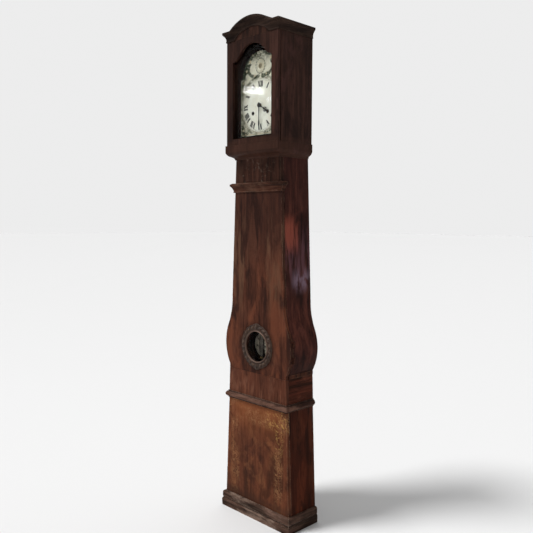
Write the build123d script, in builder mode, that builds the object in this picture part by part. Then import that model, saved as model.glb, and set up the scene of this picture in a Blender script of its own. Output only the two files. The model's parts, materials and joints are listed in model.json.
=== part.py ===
"""Comtoise longcase clock: violin-shaped case, glazed head with an arched dial, weight-driven movement.

Frame: X to the right, Y to the back, Z up, millimetres. The origin is on the floor, under the middle
of the clock's bounding box. The front faces -Y and the case is symmetric about X = 0.
"""

import math
import os

from build123d import *

os.makedirs("parts", exist_ok=True)

# ---------------------------------------------------------------- boards and fits
board = 14.0
front_board = 18.2
back_board = 12.0
wood_gap = 0.2
door_thickness = 15.0
door_gap = 1.0
running = 0.08
pin_fit = 0.02
clear = 0.3

# ---------------------------------------------------------------- depths of the case
head_depth = 214.0
trunk_depth = 175.0
cornice_reach = 16.0
back_y = (head_depth + cornice_reach) / 2
head_front = back_y - head_depth
trunk_front = back_y - trunk_depth
panel_y = back_y - back_board
side_front = trunk_front + front_board
door_back = trunk_front + door_thickness

# ---------------------------------------------------------------- base and plinth
base_half = 205.0
plinth_height = 72.0
plinth_step = 38.0
plinth_reach = 16.0
plinth_slope = 8.0
plinth_groove = 5.0
plinth_roll = 12.0
plinth_side = base_half + plinth_reach
plinth_ledge = plinth_side - plinth_groove
plinth_band = plinth_ledge + 2
plinth_top = plinth_side - plinth_roll
waist_height = 548.0
waist_half = 185.5
waist_moulding_height = 34.0
waist_reach = 13.5
base_floor_height = 40.0
waist_low = waist_height - waist_moulding_height / 2
waist_high = waist_height + waist_moulding_height / 2

# ---------------------------------------------------------------- violin trunk
door_foot = 675.0
foot_half = 181.5
belly_rail_height = 16.0
belly_rail_reach = 2.0
belly_rise = 122.0
belly_half = 210.0
flank_rise = 88.0
flank_half = 190.0
shoulder_rise = 105.0
shoulder_half = 166.0
neck_half = 141.0
neck_rise = 646.0
door_top_drop = 105.0
belly_height = door_foot + belly_rise
flank_height = belly_height + flank_rise
shoulder_height = flank_height + shoulder_rise
neck_height = shoulder_height + neck_rise
door_top = neck_height - door_top_drop
belly_foot = door_foot + door_gap + belly_rail_height

# ---------------------------------------------------------------- trunk door
door_cornice_height = 42.0
door_cornice_reach = 14.0
door_cornice_end = 24.0
batten_width = 50.0
batten_thickness = 10.0
batten_margin = 24.0
low_batten_rise = 20.0
high_batten_drop = 131.0
batten_heights = (shoulder_height + low_batten_rise, door_top - high_batten_drop)

# ---------------------------------------------------------------- oculus
oculus_radius = 68.0
oculus_height = belly_height
bezel_radius = 101.0
bezel_reach = 11.0
bezel_lip = 1.5
oculus_glass = 2.6
oculus_lap = 4.0
crest_reach = 6.0
crest_width = 14.0

# ---------------------------------------------------------------- hinges, hook and stud
hinge_pin = 1.5
hinge_knuckle = 3.2
hinge_leaf = 1.5
hinge_leaf_length = 30.0
hinge_leaf_width = 12.0
hinge_spread = 35.0
hook_drop = 231.0
hook_reach = 22.5
hook_width = 9.0
hook_thickness = 2.5
hook_pin = 2.0
stud_radius = 2.0
stud_length = 17.0
stud_reach = 5.0
hook_setback = 12.0
hook_pin_length = 14.0
hook_y = side_front + hook_setback
hook_height = door_top - hook_drop

# ---------------------------------------------------------------- head
head_half = 161.0
floor_thickness = 14.0
floor_rise = 62.0
floor_overhang = 1.5
head_moulding_lip = 5.0
head_moulding_foot = 2.5
head_moulding_rise = 31.0
head_door_thickness = 17.0
head_door_gap = 2.0
cornice_height = 44.0
head_rise = 457.0
arch_half = 112.0
arch_rise = 42.0
roof_thickness = 8.0
pivot_radius = 2.5
pivot_depth = 13.0
pivot_corner = 5.0
seat_rise = 54.0
seat_height = 24.0
seat_width = 20.0
floor_top = neck_height + floor_rise
floor_bottom = floor_top - floor_thickness
ear_height = floor_top + head_rise
seat_top = floor_top + seat_rise

# ---------------------------------------------------------------- window of the head door
window_half = 122.0
window_sill = 27.0
window_ear_drop = 92.0
window_arch_rise = 65.0
window_bend = 84.0
glass_thickness = 3.0
glass_lap = 6.0
glass_depth = 11.0
window_low = floor_top + window_sill
window_ear = ear_height - window_ear_drop
window_apex = window_ear + window_arch_rise

# ---------------------------------------------------------------- dial and hands
dial_rise = 171.0
dial_setback = 54.0
dial_thickness = 1.5
dial_half = 126.0
dial_foot = 128.0
dial_shoulder_drop = 69.0
dial_arch = 114.0
dial_arch_drop = 4.0
dial_hole = 8.0
winding_x = 46.0
winding_drop = 31.0
winding_hole = 7.0
hour_hand_length = 64.0
hour_hand_angle = 122.0
minute_hand_length = 97.0
minute_hand_angle = 180.0
minute_hand_hub = 6.0
hour_hand_lip = 3.0
spade_eye = 4.6
hand_thickness = 1.0
hour_hand_clearance = 6.5
minute_hand_clearance = 10.0
nub_reach = 2.5
hour_pipe = 4.5
dial_height = floor_top + dial_rise
dial_low = dial_height - dial_foot
dial_shoulder = window_ear - dial_shoulder_drop
dial_arch_centre = dial_shoulder - dial_arch_drop

# ---------------------------------------------------------------- movement cage
cage_half = 118.0
cage_front = -16.0
cage_depth = 100.0
cage_height = 233.0
plate = 4.0
pillar = 10.0
bar_width = 16.0
post_radius = 3.0
low_post_rise = 34.0
high_post_drop = 29.0
post_heights = (dial_low + low_post_rise, dial_shoulder - high_post_drop)
rope_hole = 6.0
hammer_x = -92.0

# ---------------------------------------------------------------- wheels
great_teeth = 72
centre_leaves = 8
centre_teeth = 60
third_leaves = 8
third_teeth = 59
escape_leaves = 8
escape_teeth = 30
cannon_teeth = 12
minute_teeth = 36
minute_leaves = 10
hour_teeth = 40
train_module = 1.0
wheel_thickness = 2.5
great_thickness = 4.0
great_rim = 13.0
wheel_rim = 5.0
arbor_radius = 2.5
escape_radius = 21.0
pallet_angle = 57.0
trundle_share = 0.24
tooth_share = 0.22
pinion_length = 11.0
escape_pinion = 7.0
escape_thickness = 2.0
anchor_distance = 33.5
pallet_gap = 2.2
barrel_radius = 22.0
flange_radius = 27.0
barrel_length = 44.0
barrel_arbor = 4.0
flange = 2.5
winding_square = 5.6
square_gap = 3.5
square_shoulder = 3.0
great_hub = 8.0
drum_gap = 0.5
lift_pins = 12
lift_circle = 40.0
lift_pin = 1.5
stud_arbor = 2.0
wheel_hub = 6.0
hub_reach = 3.0
wheel_play = 0.5
lantern_disc = 1.5
lantern_lip = 0.6
pinion_phase = 270.0
escape_tooth = 4.0
escape_band = 7.0
escape_spoke = 3.0
minute_rim = 13.0
hour_hub = 7.0
hour_rim = 14.0
lift_phase = 15.0

# ---------------------------------------------------------------- places of the wheels along Y
minute_front = -24.0
cannon_front = -19.5
going_great_front = -6.0
strike_great_front = 4.0
centre_front = 12.5
drum_front = 20.5
second_front = 65.3
third_front = 69.0
escape_front = 74.5
anchor_front = 74.25
crutch_gap = 1.0
crutch_thickness = 3.0
crutch_length = 45.0
crutch_pin = 1.5

# ---------------------------------------------------------------- ropes, weights and pendulum
rope_radius = 1.5
weight_radius = 42.0
weight_height = 180.0
weight_rest = 70.0
weight_eye = 8.0
weight_wire = 2.5
pendulum_y = -28.0
bob_rise = 3.0
bob_radius = 54.0
bob_thickness = 20.0
rod_width = 20.0
rod_thickness = 4.0
strip_width = 8.0
stirrup_radius = 17.0
stirrup_width = 4.0
bob_setback = 8.0
nut_radius = 8.0
nut_height = 6.0
rod_thread = 2.0
eye_radius = 5.0
suspension_pin = 1.5
cock_half = 6.0
cock_thickness = 3.0
weight_rim = 6.0

# ---------------------------------------------------------------- bell and hammer
bell_radius = 50.0
bell_wall = 2.5
bell_height = 38.0
bell_y = 34.0
bell_lift = 14.0
hammer_rise = 36.0
hammer_height = dial_height + hammer_rise
hammer_arm = 5.0
hammer_gap = 1.5
hammer_slot = 28.0
hammer_head = 7.0
bell_crown = 4.0
bell_flat = 10.0
tail_reach = 12.0
tail_drop = 24.0
fly_front = -1.5
fly_length = 60.0
fly_reach = 26.0
fly_thickness = 1.0


# ================================================================ small helpers
def facing(x, y, z):
    """Plane at a point that faces the front: its own x is X, its own y is Z, and it extrudes to -Y."""
    return Plane(origin=(x, y, z), x_dir=(1, 0, 0), z_dir=(0, -1, 0))


def add_box(low, high, mode=Mode.ADD):
    """Adds an upright box between two corners to the part being built."""
    size = [b - a for a, b in zip(low, high)]
    with Locations(tuple((a + b) / 2 for a, b in zip(low, high))):
        Box(*size, mode=mode)


def add_rod(x, z, front, back, radius, mode=Mode.ADD):
    """Adds a round bar along Y to the part being built."""
    with Locations((x, (front + back) / 2, z)):
        Cylinder(radius, back - front, rotation=(90, 0, 0), mode=mode)


def add_plate(points, front, back, mode=Mode.ADD):
    """Adds a flat plate, given by its corners in X and Z, between two depths."""
    with BuildSketch(facing(0, back, 0)) as section:
        with BuildLine():
            Polyline(*points, close=True)
        make_face()
    extrude(section.sketch, amount=back - front, mode=mode)


def straight_half(height):
    """Half width of the straight trunk sides at a height between the shoulder and the neck."""
    share = (height - shoulder_height) / (neck_height - shoulder_height)
    return shoulder_half + share * (neck_half - shoulder_half)


def trunk_edge(shift, side=1):
    """Edge of the violin from the neck down to the foot of the belly, moved inwards by shift."""
    neck = (side * (neck_half - shift), neck_height)
    shoulder = (side * (shoulder_half - shift), shoulder_height)
    flank = (side * (flank_half - shift), flank_height)
    belly = (side * (belly_half - shift), belly_height)
    foot = (side * (foot_half - shift), belly_foot)
    Line(neck, shoulder)
    TangentArc(shoulder, flank, tangent=(shoulder[0] - neck[0], shoulder[1] - neck[1]))
    ThreePointArc(flank, belly, foot)


def mitre_cut(corner_x, corner_y, low, high):
    """Cuts a thin diagonal joint through both front corners of a moulding that runs round the case."""
    reach = board + head_depth / 2
    for side in (-1, 1):
        with Locations(Location((side * corner_x, corner_y, (low + high) / 2), (0, 0, -side * 45))):
            Box(reach, wood_gap, high - low + 2, mode=Mode.SUBTRACT)


def tooth_points(teeth, pitch, module, share, phase=0.0):
    """Corners of a wheel with tapered teeth, as x and y about its own centre."""
    step = 2 * math.pi / teeth
    root = pitch - 1.25 * module
    tip = pitch + 0.95 * module
    points = []
    for tooth in range(teeth):
        middle = tooth * step + math.radians(phase)
        for radius, angle in ((root, -share), (tip, -share * 0.4), (tip, share * 0.4), (root, share)):
            turn = middle + angle * step
            points.append((radius * math.cos(turn), radius * math.sin(turn)))
    return points


def add_wheel(x, z, front, thickness, points, bore=0.0):
    """Adds a flat toothed wheel about an axis along Y, with an optional bore."""
    with BuildSketch(facing(x, front + thickness, z)) as section:
        with BuildLine():
            Polyline(*points, close=True)
        make_face()
        if bore:
            Circle(bore, mode=Mode.SUBTRACT)
    extrude(section.sketch, amount=thickness)


def add_crossings(x, z, front, thickness, hub, rim, spokes=4, spoke_width=5.0):
    """Cuts the openings between the spokes of a wheel."""
    with BuildSketch(facing(x, front + thickness, z)) as section:
        Circle(rim)
        Circle(hub, mode=Mode.SUBTRACT)
        with PolarLocations(0, spokes):
            Rectangle(2 * rim, spoke_width, mode=Mode.SUBTRACT)
    extrude(section.sketch, amount=thickness, mode=Mode.SUBTRACT)


def add_lantern(x, z, front, back, leaves, pitch, phase):
    """Adds a lantern pinion: two end discs joined by round trundles."""
    trundle = trundle_share * 2 * math.pi * pitch / leaves
    disc = pitch + trundle + lantern_lip
    add_rod(x, z, front, front + lantern_disc, disc)
    add_rod(x, z, back - lantern_disc, back, disc)
    for leaf in range(leaves):
        angle = math.radians(phase) + leaf * 2 * math.pi / leaves
        add_rod(x + pitch * math.cos(angle), z + pitch * math.sin(angle), front, back, trundle)


# ================================================================ base
base_outline = [
    (base_half, 0),
    (base_half, plinth_height),
    (waist_half, waist_low),
    (waist_half, waist_height),
]


def closed_outline(edge, shift=0.0):
    """Closed outline, left and right, from the right-hand edge moved inwards by shift."""
    right = [(x - shift, z) for x, z in edge]
    left = [(-x, z) for x, z in reversed(right)]
    return right + left


with BuildPart() as base_front:
    add_plate(closed_outline(base_outline), trunk_front, side_front)

with BuildPart() as base_sides:
    for side in (-1, 1):
        outer = [(side * x, z) for x, z in base_outline]
        inner = [(side * (x - board), z) for x, z in reversed(base_outline)]
        add_plate(outer + inner, side_front, back_y)

with BuildPart() as base_floor:
    add_box(
        (-base_half + board + wood_gap, side_front + wood_gap, base_floor_height),
        (base_half - board - wood_gap, panel_y - wood_gap, base_floor_height + board),
    )

# The plinth runs round the front and both sides: a square step below, a rolled step above.
with BuildPart() as plinth_moulding:
    with BuildSketch(Plane.XZ.offset(-back_y)) as plinth_profile:
        with BuildLine():
            Polyline(
                (base_half, 0),
                (plinth_side - 1, 0),
                (plinth_side, plinth_step - plinth_slope),
                (plinth_ledge, plinth_step),
                (plinth_ledge, plinth_step + 2),
                (plinth_band, plinth_step + 4),
                (plinth_band, plinth_height - plinth_roll),
            )
            RadiusArc(
                (plinth_band, plinth_height - plinth_roll),
                (plinth_top, plinth_height),
                1 - plinth_roll,
            )
            Line((plinth_top, plinth_height), (base_half, plinth_height))
            Line((base_half, plinth_height), (base_half, 0))
        make_face()
    with BuildLine() as plinth_path:
        Polyline(
            (base_half, back_y, 0),
            (base_half, trunk_front, 0),
            (-base_half, trunk_front, 0),
            (-base_half, back_y, 0),
        )
    sweep(plinth_profile.sketch, path=plinth_path.line, transition=Transition.RIGHT)
    mitre_cut(base_half, trunk_front, 0, plinth_height)

# ================================================================ waist
with BuildPart() as waist_moulding:
    with BuildSketch(Plane.XZ.offset(-back_y)) as waist_profile:
        with BuildLine():
            Polyline((waist_half + 4, waist_low + 4), (waist_half + 4, waist_low), (waist_half, waist_low))
            Polyline((waist_half, waist_low), (waist_half, waist_high), (waist_half + 4, waist_high))
            Line((waist_half + 4, waist_high), (waist_half + 4, waist_high - 4))
            ThreePointArc(
                (waist_half + 4, waist_high - 4),
                (waist_half + waist_reach, waist_height),
                (waist_half + 4, waist_low + 4),
            )
        make_face()
    with BuildLine() as waist_path:
        Polyline(
            (waist_half, back_y, waist_height),
            (waist_half, trunk_front, waist_height),
            (-waist_half, trunk_front, waist_height),
            (-waist_half, back_y, waist_height),
        )
    sweep(waist_profile.sketch, path=waist_path.line, transition=Transition.RIGHT)
    mitre_cut(waist_half, trunk_front, waist_low, waist_high)

lower_outline = [
    (waist_half, waist_height),
    (waist_half, waist_high),
    (foot_half, door_foot - door_gap),
]

with BuildPart() as lower_front:
    add_plate(closed_outline(lower_outline), trunk_front, side_front)

lower_side_outline = [
    (waist_half, waist_height),
    (waist_half, waist_high),
    (foot_half, door_foot + door_gap),
]

with BuildPart() as lower_sides:
    for side in (-1, 1):
        outer = [(side * x, z) for x, z in lower_side_outline]
        inner = [(side * (x - board), z) for x, z in reversed(lower_side_outline)]
        add_plate(outer + inner, side_front, back_y)

with BuildPart() as belly_rails:
    for side in (-1, 1):
        ends = sorted((side * (foot_half - board), side * (foot_half + belly_rail_reach)))
        add_box((ends[0], side_front, door_foot + door_gap), (ends[1], back_y, belly_foot))

# ================================================================ trunk
with BuildPart() as trunk_side_right:
    with BuildSketch(facing(0, back_y, 0)):
        with BuildLine():
            trunk_edge(0)
            trunk_edge(board)
            Line((foot_half, belly_foot), (foot_half - board, belly_foot))
            Polyline(
                (neck_half, neck_height),
                (neck_half, seat_top - seat_height),
                (neck_half - board, seat_top - seat_height),
                (neck_half - board, neck_height),
            )
        make_face()
    extrude(amount=back_y - side_front)
    add_box((0, panel_y - wood_gap, floor_top), (neck_half + 1, back_y + 1, seat_top), mode=Mode.SUBTRACT)

with BuildPart() as trunk_side_left:
    mirror(trunk_side_right.part, about=Plane.YZ)
    with Locations(Location((-straight_half(hook_height), hook_y, hook_height), (0, 90, 0))):
        Cylinder(hook_pin + running, 4 * board, mode=Mode.SUBTRACT)

neck_low = door_top + door_gap
neck_outline = [
    (straight_half(neck_low), neck_low),
    (neck_half, neck_height),
    (neck_half, floor_top),
]

with BuildPart() as neck_front:
    add_plate(closed_outline(neck_outline), trunk_front, side_front)

# Three boards close the back: base, violin and head.
arch_radius = (arch_half**2 + arch_rise**2) / (2 * arch_rise)
arch_centre = ear_height + arch_rise - arch_radius


def arch_reach(radius, height):
    """Half width of the arch of a given radius where it meets a given height."""
    return math.sqrt(radius**2 - (height - arch_centre) ** 2)


roof_under = ear_height + cornice_height - roof_thickness
under_radius = arch_radius + cornice_height - roof_thickness
fit = board + wood_gap

with BuildPart() as back_boards:
    add_plate(closed_outline(base_outline, fit), panel_y, back_y)
    with BuildSketch(facing(0, back_y, 0)) as trunk_back:
        with BuildLine():
            trunk_edge(fit)
            trunk_edge(fit, side=-1)
            Polyline(
                (foot_half - fit, belly_foot),
                (foot_half - fit, door_foot),
                (waist_half - fit, waist_high),
                (waist_half - fit, waist_height + wood_gap),
                (fit - waist_half, waist_height + wood_gap),
                (fit - waist_half, waist_high),
                (fit - foot_half, door_foot),
                (fit - foot_half, belly_foot),
            )
            Polyline(
                (neck_half - fit, neck_height),
                (neck_half - fit, floor_top),
                (fit - neck_half, floor_top),
                (fit - neck_half, neck_height),
            )
        make_face()
    extrude(trunk_back.sketch, amount=back_board)
    with BuildSketch(facing(0, back_y, 0)) as head_back:
        ear = roof_under - wood_gap
        ear_reach = arch_reach(under_radius - wood_gap, ear)
        with BuildLine():
            Polyline(
                (-ear_reach, ear),
                (fit - head_half, ear),
                (fit - head_half, floor_top + wood_gap),
                (head_half - fit, floor_top + wood_gap),
                (head_half - fit, ear),
                (ear_reach, ear),
            )
            ThreePointArc((ear_reach, ear), (0, arch_centre + under_radius - wood_gap), (-ear_reach, ear))
        make_face()
    extrude(head_back.sketch, amount=back_board)

# ================================================================ head carcase
head_side_front = head_front + head_door_thickness + head_door_gap

with BuildPart() as head_floor:
    add_box(
        (-head_half - floor_overhang, head_front - floor_overhang, floor_bottom),
        (head_half + floor_overhang, back_y, floor_top),
    )
    add_box(
        (-neck_half - wood_gap, trunk_front - wood_gap, floor_bottom - 1),
        (neck_half + wood_gap, back_y + 1, floor_top + 1),
        mode=Mode.SUBTRACT,
    )
    with Locations((head_half - head_door_thickness / 2, head_front + head_door_thickness / 2, floor_top)):
        Cylinder(pivot_radius + pin_fit, 2 * pivot_depth, mode=Mode.SUBTRACT)

with BuildPart() as head_side_right:
    add_box((head_half - board, head_side_front, floor_top), (head_half, back_y, roof_under))

with BuildPart() as head_side_left:
    mirror(head_side_right.part, about=Plane.YZ)

roof_top = ear_height + cornice_height
top_radius = arch_radius + cornice_height

with BuildPart() as head_roof:
    with BuildSketch(facing(0, back_y, 0)):
        with BuildLine():
            Line((head_half, roof_top), (arch_reach(top_radius, roof_top), roof_top))
            ThreePointArc(
                (arch_reach(top_radius, roof_top), roof_top),
                (0, arch_centre + top_radius),
                (-arch_reach(top_radius, roof_top), roof_top),
            )
            Polyline(
                (-arch_reach(top_radius, roof_top), roof_top),
                (-head_half, roof_top),
                (-head_half, roof_under),
                (-arch_reach(under_radius, roof_under), roof_under),
            )
            ThreePointArc(
                (-arch_reach(under_radius, roof_under), roof_under),
                (0, arch_centre + under_radius),
                (arch_reach(under_radius, roof_under), roof_under),
            )
            Polyline(
                (arch_reach(under_radius, roof_under), roof_under),
                (head_half, roof_under),
                (head_half, roof_top),
            )
        make_face()
    extrude(amount=back_y - head_side_front)


def cornice_section(plane, inner):
    """Section of the cornice: reach in front of the head against height, from the bottom bead up."""
    with BuildSketch(plane) as section:
        with BuildLine():
            Polyline((-inner, 0), (3, 0), (4, 2.5), (3, 5))
            ThreePointArc((3, 5), (5, 21), (12.5, cornice_height - 13))
            Polyline(
                (12.5, cornice_height - 13),
                (cornice_reach - 2, cornice_height - 11),
                (cornice_reach, cornice_height - 8),
                (cornice_reach, cornice_height),
                (-inner, cornice_height),
                (-inner, 0),
            )
        make_face()
    return section.sketch


# The front cornice rises over the dial in an arch, and the side runs are straight.
with BuildPart() as cornice_returns:
    for side in (-1, 1):
        end = Plane(origin=(side * head_half, back_y, ear_height), x_dir=(side, 0, 0), z_dir=(0, -side, 0))
        extrude(cornice_section(end, 0), amount=head_depth + cornice_reach, dir=(0, -1, 0))
        with BuildSketch(Plane.XY.offset(ear_height - 1)) as return_cut:
            with BuildLine():
                Polyline(
                    (side * (head_half - 1), head_front + wood_gap + 1),
                    (side * (head_half + 2 * cornice_reach), head_front + wood_gap - 2 * cornice_reach),
                    (side * (head_half - 1), head_front + wood_gap - 2 * cornice_reach),
                    close=True,
                )
            make_face()
        extrude(return_cut.sketch, amount=cornice_height + 2, mode=Mode.SUBTRACT)

with BuildPart() as cornice_front:
    end = Plane(
        origin=(-head_half - cornice_reach, head_front, ear_height), x_dir=(0, -1, 0), z_dir=(-1, 0, 0)
    )
    with BuildLine() as arch_path:
        Line((-head_half - cornice_reach, head_front, ear_height), (-arch_half, head_front, ear_height))
        ThreePointArc(
            (-arch_half, head_front, ear_height),
            (0, head_front, ear_height + arch_rise),
            (arch_half, head_front, ear_height),
        )
        Line((arch_half, head_front, ear_height), (head_half + cornice_reach, head_front, ear_height))
    arch_section = cornice_section(end, head_side_front - head_front)
    sweep(arch_section, path=arch_path.line, transition=Transition.RIGHT)
    for side in (-1, 1):
        with BuildSketch(Plane.XY.offset(ear_height - 1)) as corner_cut:
            with BuildLine():
                Polyline(
                    (side * (head_half - wood_gap), head_front),
                    (side * (head_half + 2 * cornice_reach), head_front - 2 * cornice_reach - wood_gap),
                    (side * (head_half + 2 * cornice_reach), back_y),
                    (side * (head_half - wood_gap), back_y),
                    close=True,
                )
            make_face()
        extrude(corner_cut.sketch, amount=cornice_height + 2, mode=Mode.SUBTRACT)
    with Locations((head_half - head_door_thickness / 2, head_front + head_door_thickness / 2, ear_height)):
        Cylinder(pivot_radius + pin_fit, 2 * pivot_depth, mode=Mode.SUBTRACT)

# The tympanum fills the arch of the cornice above the square top of the door.
with BuildPart() as tympanum:
    with BuildSketch(facing(0, head_side_front, 0)):
        with BuildLine():
            Line((-arch_reach(arch_radius - wood_gap, ear_height), ear_height),
                 (arch_reach(arch_radius - wood_gap, ear_height), ear_height))
            ThreePointArc(
                (arch_reach(arch_radius - wood_gap, ear_height), ear_height),
                (0, arch_centre + arch_radius - wood_gap),
                (-arch_reach(arch_radius - wood_gap, ear_height), ear_height),
            )
        make_face()
    extrude(amount=head_side_front - head_front)

# ================================================================ moulding under the head
moulding_front = trunk_front - head_front + head_moulding_lip
moulding_side = head_half - neck_half + head_moulding_lip


def ogee_section(plane, start, side, reach):
    """Section of the moulding under the head, from the neck out to a square lip round the floor."""
    foot = start + side * head_moulding_foot
    tip = start + side * reach
    lip = tip - side * (head_moulding_lip - floor_overhang)
    with BuildSketch(plane) as section:
        with BuildLine():
            Polyline((start, floor_bottom), (start, neck_height), (foot, neck_height))
            Bezier(
                (foot, neck_height),
                (start + side * 0.15 * reach, neck_height + 18),
                (start + side * 0.75 * reach, neck_height + 8),
                (tip, neck_height + head_moulding_rise),
            )
            Polyline(
                (tip, neck_height + head_moulding_rise),
                (tip, floor_top),
                (lip, floor_top),
                (lip, floor_bottom),
                (start, floor_bottom),
            )
        make_face()
    return section.sketch


with BuildPart() as ogee_front:
    left_end = Plane.YZ.offset(-head_half - head_moulding_lip)
    front_section = ogee_section(left_end, trunk_front, -1, moulding_front)
    extrude(front_section, amount=2 * (head_half + head_moulding_lip))
    for side in (-1, 1):
        with BuildSketch(Plane.XY.offset(neck_height - 1)) as front_cut:
            with BuildLine():
                Polyline(
                    (side * neck_half, trunk_front),
                    (side * (neck_half + 2 * moulding_side), trunk_front - 2 * moulding_front),
                    (side * (neck_half + 2 * moulding_side), trunk_front),
                    close=True,
                )
            make_face()
        extrude(front_cut.sketch, amount=floor_top - neck_height + 2, mode=Mode.SUBTRACT)

with BuildPart() as ogee_returns:
    for side in (-1, 1):
        rear_end = facing(0, back_y, 0)
        side_section = ogee_section(rear_end, side * neck_half, side, moulding_side)
        extrude(side_section, amount=head_depth + head_moulding_lip)
        with BuildSketch(Plane.XY.offset(neck_height - 1)) as side_cut:
            with BuildLine():
                Polyline(
                    (side * (neck_half - 1), trunk_front + wood_gap),
                    (side * neck_half, trunk_front + wood_gap),
                    (side * (neck_half + 2 * moulding_side), trunk_front + wood_gap - 2 * moulding_front),
                    (side * (neck_half - 1), trunk_front - 2 * moulding_front),
                    close=True,
                )
            make_face()
        extrude(side_cut.sketch, amount=floor_top - neck_height + 2, mode=Mode.SUBTRACT)

# ================================================================ seat rails under the movement
cage_back = cage_front + cage_depth
seat_bottom = seat_top - seat_height

with BuildPart() as seat_rails:
    for front in (cage_front + pillar / 2, cage_back - pillar / 2 - seat_width):
        add_box((-neck_half, front, seat_bottom), (neck_half, front + seat_width, seat_top))

# ================================================================ trunk door
stud_y = hook_y - hook_reach
stud_inner = stud_length - stud_reach - straight_half(hook_height)

with BuildPart() as trunk_door_panel:
    panel_top = door_top - door_cornice_height / 8
    with BuildSketch(facing(0, door_back, 0)) as door_outline:
        with BuildLine():
            Line((straight_half(panel_top), panel_top), (shoulder_half, shoulder_height))
            TangentArc(
                (shoulder_half, shoulder_height),
                (flank_half, flank_height),
                tangent=(shoulder_half - neck_half, shoulder_height - neck_height),
            )
            ThreePointArc((flank_half, flank_height), (belly_half, belly_height), (foot_half, belly_foot))
            Polyline(
                (foot_half, belly_foot),
                (foot_half, door_foot),
                (-foot_half, door_foot),
                (-foot_half, belly_foot),
            )
            belly = (-belly_half, belly_height)
            ThreePointArc((-foot_half, belly_foot), belly, (-flank_half, flank_height))
            TangentArc(
                (-shoulder_half, shoulder_height),
                (-flank_half, flank_height),
                tangent=(neck_half - shoulder_half, shoulder_height - neck_height),
            )
            Polyline(
                (-shoulder_half, shoulder_height),
                (-straight_half(panel_top), panel_top),
                (straight_half(panel_top), panel_top),
            )
        make_face()
        with Locations((0, oculus_height)):
            Circle(oculus_radius + 2, mode=Mode.SUBTRACT)
    extrude(door_outline.sketch, amount=door_thickness)
    glass_seat = trunk_front + oculus_glass + 2 * clear
    rebate_radius = oculus_radius + oculus_lap + clear
    add_rod(0, oculus_height, trunk_front, glass_seat, rebate_radius, mode=Mode.SUBTRACT)
    for height in batten_heights:
        half = straight_half(height) - board - batten_margin
        add_box((-half, door_back, height), (half, door_back + batten_thickness, height + batten_width))
    with Locations(Location((stud_inner - stud_length / 2, stud_y, hook_height), (0, 90, 0))):
        Cylinder(stud_radius + pin_fit, stud_length, mode=Mode.SUBTRACT)

# The cornice of the door is planted on the panel and returns over the edges of the door.
with BuildPart() as trunk_door_cornice:
    cornice_low = door_top - door_cornice_height
    with BuildSketch(Plane.YZ.offset(-base_half)) as reach_front:
        with BuildLine():
            Polyline(
                (door_back, door_top),
                (trunk_front - 0.6 * door_cornice_reach, door_top),
                (trunk_front - door_cornice_reach, door_top - 5),
                (trunk_front - door_cornice_reach, door_top - 12),
                (trunk_front - 0.85 * door_cornice_reach, door_top - 14),
            )
            ThreePointArc(
                (trunk_front - 0.85 * door_cornice_reach, door_top - 14),
                (trunk_front - 0.45 * door_cornice_reach, cornice_low + 16),
                (trunk_front - 0.25 * door_cornice_reach, cornice_low + 6),
            )
            Polyline(
                (trunk_front - 0.25 * door_cornice_reach, cornice_low + 6),
                (trunk_front - 0.4 * door_cornice_reach, cornice_low + 3),
                (trunk_front - 0.25 * door_cornice_reach, cornice_low),
                (door_back, cornice_low),
                (door_back, door_top),
            )
        make_face()
    extrude(reach_front.sketch, amount=2 * base_half)
    with BuildSketch(facing(0, door_back, 0)) as reach_sides:
        with BuildLine():
            half = straight_half(cornice_low)
            ends = [(half + 0.25 * door_cornice_end, cornice_low)]
            ends += [(half + 0.4 * door_cornice_end, cornice_low + 3)]
            ends += [(half + 0.25 * door_cornice_end, cornice_low + 6)]
            for side in (-1, 1):
                Polyline((0, cornice_low), *[(side * x, z) for x, z in ends])
                ThreePointArc(
                    (side * (half + 0.25 * door_cornice_end), cornice_low + 6),
                    (side * (half + 0.45 * door_cornice_end), cornice_low + 16),
                    (side * (half + 0.85 * door_cornice_end), door_top - 14),
                )
                Polyline(
                    (side * (half + 0.85 * door_cornice_end), door_top - 14),
                    (side * (half + door_cornice_end), door_top - 12),
                    (side * (half + door_cornice_end), door_top - 5),
                    (side * (half + 0.6 * door_cornice_end), door_top),
                    (0, door_top),
                )
        make_face()
    extrude(reach_sides.sketch, amount=door_thickness + 2 * door_cornice_reach, mode=Mode.INTERSECT)
    panel_corners = [(straight_half(height), height) for height in (cornice_low - 1, panel_top)]
    add_plate(closed_outline(panel_corners), trunk_front, door_back + 1, mode=Mode.SUBTRACT)

# ---------------------------------------------------------------- oculus
with BuildPart() as oculus_bezel:
    with BuildSketch(Plane.YZ) as bezel_section:
        with BuildLine():
            inner_edge = oculus_height + oculus_radius
            Line((trunk_front, inner_edge), (trunk_front - 2.5, inner_edge))
            ThreePointArc(
                (trunk_front - 2.5, oculus_height + oculus_radius),
                (trunk_front - 4.5, oculus_height + oculus_radius + 3),
                (trunk_front - 3, oculus_height + oculus_radius + 6),
            )
            ThreePointArc(
                (trunk_front - 3, oculus_height + oculus_radius + 6),
                (trunk_front - bezel_reach, oculus_height + (oculus_radius + bezel_radius) / 2 + 2),
                (trunk_front - bezel_lip, oculus_height + bezel_radius),
            )
            Polyline(
                (trunk_front - bezel_lip, oculus_height + bezel_radius),
                (trunk_front, oculus_height + bezel_radius),
                (trunk_front, oculus_height + oculus_radius),
            )
        make_face()
    revolve(bezel_section.sketch, axis=Axis((0, 0, oculus_height), (0, 1, 0)))
    for turn in (0, 180):
        with BuildSketch(facing(0, trunk_front, oculus_height)) as crest:
            with Locations(Location((0, 0, 0), (0, 0, turn))):
                with Locations((0, bezel_radius - crest_width / 2)):
                    Ellipse(crest_width, crest_width / 2 + crest_reach)
            Circle(bezel_radius - crest_width, mode=Mode.SUBTRACT)
        extrude(crest.sketch, amount=bezel_lip + 3)

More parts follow.
